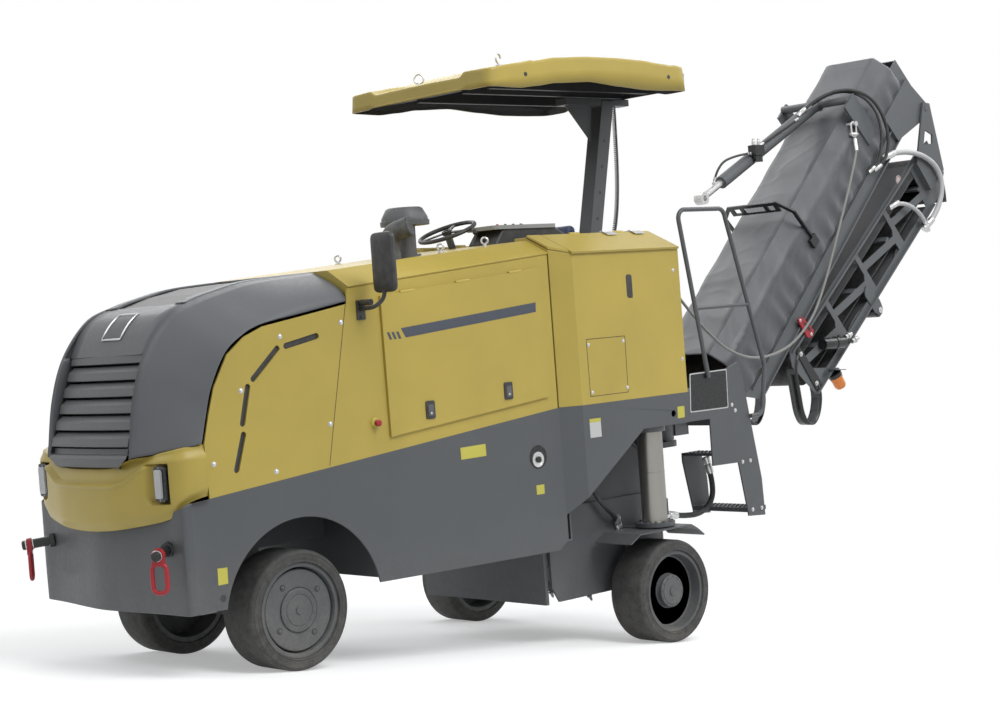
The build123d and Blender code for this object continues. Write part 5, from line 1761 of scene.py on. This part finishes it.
ROUTES = {
    "sling_rope": (
        3.82, 0.02, "grey hose", "conveyor", "limp",
        [
            (-5.79, 0.322, 3.005), (-5.765, 0.352, 2.92), (-5.735, 0.372, 2.86), (-5.584, 0.388, 2.586),
            (-5.414, 0.39, 2.27), (-5.226, 0.392, 1.921), (-5.069, 0.394, 1.69), (-4.925, 0.395, 1.565),
            (-4.749, 0.395, 1.46), (-4.561, 0.394, 1.41), (-4.39, 0.394, 1.395), (-4.225, 0.394, 1.415),
            (-4.056, 0.394, 1.475), (-3.916, 0.398, 1.56), (-3.75, 0.404, 1.69), (-3.55, 0.415, 1.87),
            (-3.35, 0.43, 2.07), (-3.16, 0.45, 2.27),
        ],
    ),
    "fold_hose": (
        1.32, 0.026, "hose rubber", "conveyor", "medium",
        [
            (-5.5, 0.03, 3.185), (-5.56, 0.07, 3.25), (-5.65, 0.14, 3.32), (-5.74, 0.24, 3.36),
            (-5.84, 0.335, 3.35), (-5.96, 0.378, 3.29), (-6.07, 0.385, 3.19), (-6.14, 0.385, 3.05),
            (-6.145, 0.38, 2.9), (-6.09, 0.365, 2.79), (-6.0, 0.336, 2.735),
        ],
    ),
    "fold_hose_inner": (
        1.16, 0.022, "hose rubber", "conveyor", "medium",
        [
            (-5.58, 0.03, 3.225), (-5.66, 0.1, 3.3), (-5.74, 0.18, 3.345), (-5.82, 0.27, 3.35),
            (-5.9, 0.35, 3.3), (-5.98, 0.387, 3.21), (-6.04, 0.392, 3.1), (-6.055, 0.39, 2.97),
            (-6.03, 0.382, 2.85), (-5.99, 0.365, 2.77), (-5.93, 0.336, 2.72),
        ],
    ),
    "tail_hose": (
        1.27, 0.042, "white hose", "tail", "medium",
        [
            (-6.13, 0.322, 2.825), (-6.2, 0.345, 2.85), (-6.3, 0.366, 2.872), (-6.447, 0.373, 2.872),
            (-6.62, 0.377, 2.84), (-6.76, 0.379, 2.77), (-6.835, 0.379, 2.66), (-6.83, 0.376, 2.54),
            (-6.775, 0.37, 2.43), (-6.7, 0.358, 2.34), (-6.605, 0.337, 2.265),
        ],
    ),
    "tail_hose_low": (
        0.56, 0.034, "white hose", "tail", "medium",
        [
            (-6.187, 0.317, 2.44), (-6.25, 0.338, 2.47), (-6.34, 0.355, 2.47), (-6.45, 0.362, 2.435),
            (-6.54, 0.36, 2.38), (-6.62, 0.348, 2.31), (-6.66, 0.335, 2.25),
        ],
    ),
    "stay_hose": (
        0.53, 0.018, "hose rubber", "stay", "medium",
        [
            (-4.462, 0.018, 2.672), (-4.47, 0.036, 2.73), (-4.5, 0.05, 2.79), (-4.56, 0.052, 2.838),
            (-4.67, 0.052, 2.868), (-4.791, 0.05, 2.888), (-4.885, 0.045, 2.895),
        ],
    ),
    "stay_hose_high": (
        0.54, 0.018, "hose rubber", "stay", "medium",
        [
            (-4.98, 0.045, 2.95), (-5.06, 0.05, 2.985), (-5.17, 0.052, 3.035), (-5.29, 0.052, 3.085),
            (-5.4, 0.05, 3.13), (-5.475, 0.045, 3.16),
        ],
    ),
    "leg_hose_front": (
        0.5, 0.036, "hose rubber", "chassis", "medium",
        [
            (-2.5, 0.455, 0.79), (-2.495, 0.49, 0.72), (-2.515, 0.515, 0.64), (-2.57, 0.53, 0.565),
            (-2.64, 0.525, 0.51), (-2.705, 0.5, 0.46), (-2.74, 0.478, 0.4),
        ],
    ),
    "leg_hose_rear": (
        0.75, 0.038, "hose rubber", "chassis", "medium",
        [
            (-3.66, 0.46, 0.765), (-3.672, 0.47, 0.69), (-3.685, 0.48, 0.59), (-3.67, 0.49, 0.5),
            (-3.61, 0.492, 0.43), (-3.52, 0.485, 0.395), (-3.42, 0.465, 0.395), (-3.32, 0.44, 0.41),
            (-3.235, 0.425, 0.43),
        ],
    ),
    "belt_hose": (
        1.13, 0.026, "hose rubber", "tail", "medium",
        [
            (-6.36, 0.27, 2.2), (-6.3, 0.276, 2.1), (-6.2, 0.279, 1.97), (-6.05, 0.28, 1.83),
            (-5.9, 0.28, 1.73), (-5.76, 0.279, 1.66), (-5.66, 0.276, 1.58), (-5.6, 0.272, 1.5),
            (-5.55, 0.27, 1.44),
        ],
    ),
}


def nurbs_line(name, points, resolution):
    """Smooth curve through the machine's frame, pulled along by its points."""
    curve = bpy.data.curves.new(name, "CURVE")
    curve.dimensions = "3D"
    spline = curve.splines.new("NURBS")
    spline.points.add(len(points) - 1)
    for target, point in zip(spline.points, points):
        target.co = (*(BODY @ Vector(point)), 1)
    spline.order_u = 3
    spline.use_endpoint_u = True
    spline.resolution_u = resolution
    return curve


def make_cords():
    """Every hose and rope along its route."""
    for name, (length, diameter, finish, body, stiffness, points) in ROUTES.items():
        curve = nurbs_line(name, points, 10)
        curve.bevel_depth = diameter / 2
        curve.bevel_resolution = 3
        curve.use_fill_caps = True
        curve.materials.append(bpy.data.materials[finish])
        made = placed(name, curve)
        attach(made, body)


def ferrule(bm, name, at_end):
    """Crimped end fitting of a hose."""
    diameter, points = ROUTES[name][1], ROUTES[name][-1]
    tip = Vector(points[-1 if at_end else 0])
    behind = Vector(points[-2 if at_end else 1])
    aim = (behind - tip).normalized()
    radius, run = diameter / 2 * 1.35, diameter * 3.0
    profile = [
        (-0.004, radius * 0.8), (0, radius), (run * 0.35, radius), (run * 0.4, radius * 0.86),
        (run * 0.46, radius),
    ]
    profile += [(run * 0.9, radius), (run, radius * 0.9), (run, 0)]
    turned(bm, tip, aim, profile, 16)


def make_cord_fittings():
    """End fittings of the hoses, the sling's shackle and turnbuckle, and the stay's valve."""
    by_body = {}
    for name, route in ROUTES.items():
        if name != "sling_rope":
            by_body.setdefault(route[3], []).append(name)
    for body, names in by_body.items():
        bm = bmesh.new()
        for name in names:
            for at_end in (False, True):
                ferrule(bm, name, at_end)
        piece(f"hose_ends_{body}", bm, "bright steel", body=body)
    bm = bmesh.new()
    top = Vector((-5.79, 0.322, 3.005))
    turned(
        bm, top + Vector((0.04, 0.042, -0.125)), (-0.03, -0.03, 0.1),
        [(0, 0.016), (0.1, 0.016), (0.104, 0.01), (0.104, 0)], 16,
    )
    loop = oblong(-0.03, 0.0, 0.03, 0.11, 0.028, 6)
    bar(bm, [top + Vector((a, 0, b - 0.01)) for a, b in loop], 0.008, 10, 0, True)
    turned(
        bm, top + Vector((-0.045, 0, 0.008)), (1, 0, 0),
        [(0, 0.011), (0.006, 0.013), (0.084, 0.013), (0.09, 0.011), (0.09, 0)], 12,
    )
    turned(
        bm, top + Vector((0, -0.06, 0.085)), (0, 1, 0),
        [(0, 0.014), (0.075, 0.014), (0.078, 0.02), (0.09, 0.02), (0.09, 0)], 14,
    )
    low = Vector(ROUTES["sling_rope"][-1][-1])
    turned(
        bm, low, (-0.35, 0.05, -0.5), [(-0.01, 0.012), (0, 0.016), (0.09, 0.015), (0.1, 0.011), (0.1, 0)],
        14,
    )
    bar(bm, ring_points(low + Vector((0.018, -0.005, 0.03)), (0, 1, 0), 0.03, 24), 0.008, 8, 0, True)
    piece("sling_fittings", bm, "bright steel", 0.001, body="conveyor")
    bm = bmesh.new()
    box(bm, (-4.99, 0.02, 2.875), (-4.88, 0.09, 2.955))
    for x in (-4.965, -4.905):
        turned(
            bm, (x, 0.055, 2.955), (0, 0, 1),
            [(0, 0.014), (0.03, 0.014), (0.034, 0.01), (0.05, 0.01), (0.05, 0)], 14, 1,
        )
    box(bm, (-4.975, 0.0, 2.83), (-4.895, 0.08, 2.876))
    piece("stay_valve", bm, "gloss black, bright steel", 0.003, body="stay")


CURL = [
    (-3.375, 0.1, 3.215), (-3.372, 0.1, 2.95), (-3.36, 0.1, 2.7), (-3.335, 0.1, 2.5), (-3.29, 0.1, 2.33),
    (-3.22, 0.1, 2.2), (-3.14, 0.1, 2.13),
]


def make_conveyor_hardware():
    """Beacon, belt motor, roller, clip and blank sign of the conveyor."""
    bm = bmesh.new()
    aim = Vector((-0.52, 0.05, -0.85)).normalized()
    spot = Vector((-5.37, 0.31, 1.185))
    turned(
        bm, spot - aim * 0.01, aim,
        [(0, 0.05), (0.025, 0.05), (0.025, 0.046), (0.09, 0.045), (0.105, 0.036), (0.11, 0)], 28,
    )
    turned(bm, spot - aim * 0.035, aim, [(0, 0.054), (0.028, 0.054), (0.03, 0.05), (0.03, 0)], 28, 1)
    beacon_arm = rounded([(-5.07, 1.275), (-5.44, 1.25), (-5.42, 1.2), (-5.3, 1.19), (-5.07, 1.2)], 0.02)
    side_plate(bm, beacon_arm, 0.292, 0.3, 2)
    solid(
        bm, [(-5.43, 0.255, 1.232), (-5.3, 0.255, 1.24), (-5.3, 0.365, 1.24), (-5.43, 0.365, 1.232)],
        (0, 0, 0.006), 2,
    )
    piece("work_beacon", bm, "amber lens, gloss black, conveyor grey", 0.001, body="tail")
    bm = bmesh.new()
    start, end = Vector((-5.19, 0.345, 1.44)), Vector((-5.46, 0.345, 1.44))
    run = end - start
    turned(
        bm, start, run,
        [
            (0, 0.042), (0.02, 0.045), (0.14, 0.045), (0.142, 0.05), (0.165, 0.05), (0.167, 0.046),
            (0.25, 0.045), (0.262, 0.036), (0.262, 0),
        ],
        28,
    )
    box(bm, (-5.3, 0.3, 1.4), (-5.22, 0.345, 1.48))
    for x, z in ((-5.47, 1.475), (-5.55, 1.44)):
        turned(
            bm, (x, 0.345, z), (-0.8, 0.1, 0.25),
            [
                (0, 0.02), (0.025, 0.02), (0.027, 0.026), (0.045, 0.026), (0.047, 0.017), (0.075, 0.016),
                (0.075, 0),
            ],
            14, 1,
        )
    piece("belt_motor", bm, "gloss black, bright steel", 0.001, body="tail")
    bm = bmesh.new()
    turned(
        bm, (-5.985, 0.16, 1.655), (0, 1, 0),
        [(0, 0.05), (0.004, 0.055), (0.13, 0.055), (0.134, 0.05), (0.134, 0.015), (0.15, 0.015), (0.15, 0)],
        28,
    )
    arm = rounded(
        [(-5.83, 1.86), (-5.8, 1.78), (-5.94, 1.63), (-6.0, 1.61), (-6.03, 1.66), (-5.99, 1.74)], 0.03
    )
    side_plate(bm, arm, 0.3, 0.31, 1)
    turned(
        bm, (-5.985, 0.31, 1.655), (0, 1, 0),
        [(0, 0.024), (0.008, 0.024), (0.01, 0.012), (0.016, 0.012), (0.016, 0)], 18, 2,
    )
    piece("return_roller", bm, "gloss black, conveyor grey, bright steel", 0.001, body="tail")
    bm = bmesh.new()
    clip = rounded([(-4.925, 1.64), (-4.985, 1.66), (-5.11, 1.55), (-5.09, 1.505), (-5.03, 1.5)], 0.015)
    side_plate(bm, clip, 0.326, 0.338)
    side_plate(
        bm, rounded([(-4.985, 1.612), (-5.01, 1.62), (-5.075, 1.56), (-5.055, 1.542)], 0.008), 0.337,
        0.3395, 1,
    )
    for x, z in ((-4.955, 1.635), (-5.075, 1.525)):
        bolt(bm, (x, 0.338, z), (0, 1, 0), 0.008, 2)
    box(bm, (-5.06, 0.3, 1.55), (-4.97, 0.327, 1.6), 1)
    piece("red_clip", bm, "signal red, gloss black, bright steel", 0.002, body="conveyor")
    bm = bmesh.new()
    turned(bm, (-6.36, 0.3, 2.66), (0, 1, 0), [(0, 0.001), (0, 0.036), (0.0012, 0.036), (0.0012, 0)], 32)
    turned(
        bm, (-6.36, 0.3, 2.66), (0, 1, 0),
        [(0.0011, 0.03), (0.0018, 0.03), (0.0018, 0.025), (0.0011, 0.025)], 32, 1,
    )
    piece("blank_sign", bm, "label white, signal red", body="tail")


def make_flap():
    """Rubber flap that hangs at the discharge end."""
    bm = bmesh.new()
    rows = []
    for k in range(15):
        t = k / 14
        row = []
        for j in range(17):
            y = -0.27 + 0.54 * j / 16
            wave = 0.006 * math.sin(j * 1.1) * t
            row.append((-6.985 - 0.12 * t + 0.06 * t * t + wave, y, 2.78 - 0.3 * t))
        rows.append(row)
    grid(bm, rows)
    flap = piece("rubber_flap", bm, "belt rubber", body="tail")
    thicken(flap, 0.008)


def make_curly_cable(turns):
    """Curly cable from the canopy down to the console side, its coils round one line."""
    curve = nurbs_line("curl_line", CURL, 40)
    holder = bpy.data.objects.new("curl_line", curve)
    line = [v.co.copy() for v in bpy.data.meshes.new_from_object(holder).vertices]
    bpy.data.objects.remove(holder)
    bpy.data.curves.remove(curve)
    lengths = [0.0]
    for a, b in zip(line, line[1:]):
        lengths.append(lengths[-1] + (b - a).length)
    per_turn, radius = 12, 0.0125
    path = []
    index = 0
    for k in range(turns * per_turn + 1):
        t = lengths[-1] * k / (turns * per_turn)
        while index < len(line) - 2 and lengths[index + 1] < t:
            index += 1
        share = (t - lengths[index]) / max(lengths[index + 1] - lengths[index], 1e-9)
        centre = line[index].lerp(line[index + 1], share)
        angle = 2 * math.pi * k / per_turn
        grow = radius * min(1.0, k / 6, (turns * per_turn - k) / 6)
        path.append(centre + Vector((math.cos(angle), math.sin(angle), 0)) * grow)
    bm = bmesh.new()
    bar(bm, path, 0.0042, 6)
    cable = piece("curly_cable", bm, "tyre rubber", place=Matrix.Identity(4))
    bm = bmesh.new()
    turned(bm, (-3.375, 0.1, 3.205), (0, 0, 1), [(0, 0.012), (0.02, 0.016), (0.045, 0.016), (0.045, 0)], 14)
    turned(
        bm, (-3.125, 0.1, 2.115), (-0.08, 0, 0.07), [(0, 0.015), (0.03, 0.014), (0.05, 0.009), (0.05, 0)],
        14,
    )
    piece("cable_ends", bm, "black plastic")


# Settings, steps and panel


class PlanerSettings(bpy.types.PropertyGroup):
    """Sizes and colours of the finish."""

    body_colour: bpy.props.FloatVectorProperty(
        name="Body Colour",
        description="Paint of the panels, doors, cabinets and roof",
        subtype="COLOR",
        size=3,
        min=0.0,
        max=1.0,
        default=(0.53, 0.405, 0.088),
    )
    frame_colour: bpy.props.FloatVectorProperty(
        name="Frame Colour",
        description="Paint of the frame, posts, legs and steps",
        subtype="COLOR",
        size=3,
        min=0.0,
        max=1.0,
        default=(0.1, 0.106, 0.113),
    )
    hood_wall: bpy.props.FloatProperty(
        name="Hood Wall",
        description="Thickness of the moulded hood and nose panel",
        subtype="DISTANCE",
        unit="LENGTH",
        min=0.001,
        default=0.012,
    )
    roof_wall: bpy.props.FloatProperty(
        name="Roof Wall",
        description="Thickness of the moulded roof",
        subtype="DISTANCE",
        unit="LENGTH",
        min=0.001,
        default=0.014,
    )
    cable_turns: bpy.props.IntProperty(
        name="Cable Turns", description="Turns of the curly cable", min=2, default=84
    )
    key_power: bpy.props.FloatProperty(
        name="Key Light",
        description="Power of the main studio light",
        subtype="POWER",
        unit="POWER",
        min=0.0,
        default=1050.0,
    )
    sky_strength: bpy.props.FloatProperty(
        name="Sky Strength",
        description="Strength of the even light from all round",
        min=0.0,
        default=0.52,
    )
    floor_glow: bpy.props.FloatProperty(
        name="Floor Glow",
        description="Own light of the floor, which lifts it to white",
        min=0.0,
        default=0.35,
    )


class PLANER_OT_stage(bpy.types.Operator):
    """Camera, lights, floor and sky"""

    bl_idname = "planer.stage"
    bl_label = "Set Up Stage"

    def execute(self, context):
        make_stage(context.scene.planer)
        return {"FINISHED"}


class PLANER_OT_paint(bpy.types.Operator):
    """Materials of the whole machine and the finish of every CAD node"""

    bl_idname = "planer.paint"
    bl_label = "Paint Frame"

    def execute(self, context):
        make_paint_group()
        make_dust_group()
        make_scratch_group()
        make_grain_group()
        make_weave_group()
        make_brushed_group()
        make_materials(context.scene.planer)
        for name, thing in NODES.items():
            dress_node(name, thing)
        bright_column("leg_left", LEFT_LEG_Y)
        bright_column("leg_right", RIGHT_LEG_Y)
        blacken_guard()
        return {"FINISHED"}


class PLANER_OT_cords(bpy.types.Operator):
    """Hoses, ropes and cables"""

    bl_idname = "planer.cords"
    bl_label = "Run Hoses"

    def execute(self, context):
        make_cords()
        make_curly_cable(context.scene.planer.cable_turns)
        return {"FINISHED"}


class PLANER_OT_cover(bpy.types.Operator):
    """Tarpaulin over the conveyor"""

    bl_idname = "planer.cover"
    bl_label = "Lay Conveyor Cover"

    def execute(self, context):
        make_cover()
        return {"FINISHED"}


class PLANER_OT_sides(bpy.types.Operator):
    """Bolts, latches, buttons, stripes and the painted shade behind the slots"""

    bl_idname = "planer.sides"
    bl_label = "Fit Out Sides"

    def execute(self, context):
        make_side_fittings()
        painted_slot_shade()
        return {"FINISHED"}


class PLANER_OT_wheels(bpy.types.Operator):
    """Hub covers and sidewall rings of the four wheels"""

    bl_idname = "planer.wheels"
    bl_label = "Fit Out Wheels"

    def execute(self, context):
        make_wheels()
        return {"FINISHED"}


class PLANER_OT_nose(bpy.types.Operator):
    """Moulded hood, bumper, louvres, badge plate, lamps and tow pins"""

    bl_idname = "planer.nose"
    bl_label = "Build Nose"

    def execute(self, context):
        make_hood(context.scene.planer.hood_wall)
        make_bumper()
        make_louvres()
        make_badge()
        make_lamps()
        make_tow_pins()
        return {"FINISHED"}


class PLANER_OT_top(bpy.types.Operator):
    """Roof, eyes, mirror, intake, exhaust, seat and controls"""

    bl_idname = "planer.top"
    bl_label = "Fit Out Top"

    def execute(self, context):
        make_roof(context.scene.planer.roof_wall)
        make_top_fittings()
        make_mirror()
        make_air_intake()
        make_seat()
        make_controls()
        return {"FINISHED"}


class PLANER_OT_trim(bpy.types.Operator):
    """Labels, seams, filler, sign board, step grips and leg details"""

    bl_idname = "planer.trim"
    bl_label = "Add Trim"

    def execute(self, context):
        make_labels()
        make_steps()
        make_leg_details()
        make_drum_picks()
        return {"FINISHED"}


class PLANER_OT_conveyor(bpy.types.Operator):
    """Hose ends, beacon, motor, roller, clip, sign, flap and tail details"""

    bl_idname = "planer.conveyor"
    bl_label = "Fit Out Conveyor"

    def execute(self, context):
        make_cord_fittings()
        make_conveyor_hardware()
        make_flap()
        make_tail_backing()
        return {"FINISHED"}


class PLANER_PT_panel(bpy.types.Panel):
    """The steps of the finish, in order"""

    bl_idname = "PLANER_PT_panel"
    bl_label = "Cold Planer"
    bl_space_type = "VIEW_3D"
    bl_region_type = "UI"
    bl_category = "Planer"

    def draw(self, context):
        for label in PlanerSettings.__annotations__:
            self.layout.prop(context.scene.planer, label)
        for step in STEPS:
            self.layout.operator(step.bl_idname)


STEPS = (
    PLANER_OT_stage,
    PLANER_OT_paint,
    PLANER_OT_cords,
    PLANER_OT_cover,
    PLANER_OT_sides,
    PLANER_OT_wheels,
    PLANER_OT_nose,
    PLANER_OT_top,
    PLANER_OT_trim,
    PLANER_OT_conveyor,
)
CLASSES = (PlanerSettings, *STEPS, PLANER_PT_panel)


def register():
    """Adds the classes and the scene's settings."""
    for made in CLASSES:
        bpy.utils.register_class(made)
    bpy.types.Scene.planer = bpy.props.PointerProperty(type=PlanerSettings)


def unregister():
    """Removes them again."""
    del bpy.types.Scene.planer
    for made in reversed(CLASSES):
        bpy.utils.unregister_class(made)


def main():
    """Registers the classes and runs every step in order."""
    register()
    for step in STEPS:
        group, call = step.bl_idname.split(".")
        getattr(getattr(bpy.ops, group), call)()


if __name__ == "__main__":
    main()
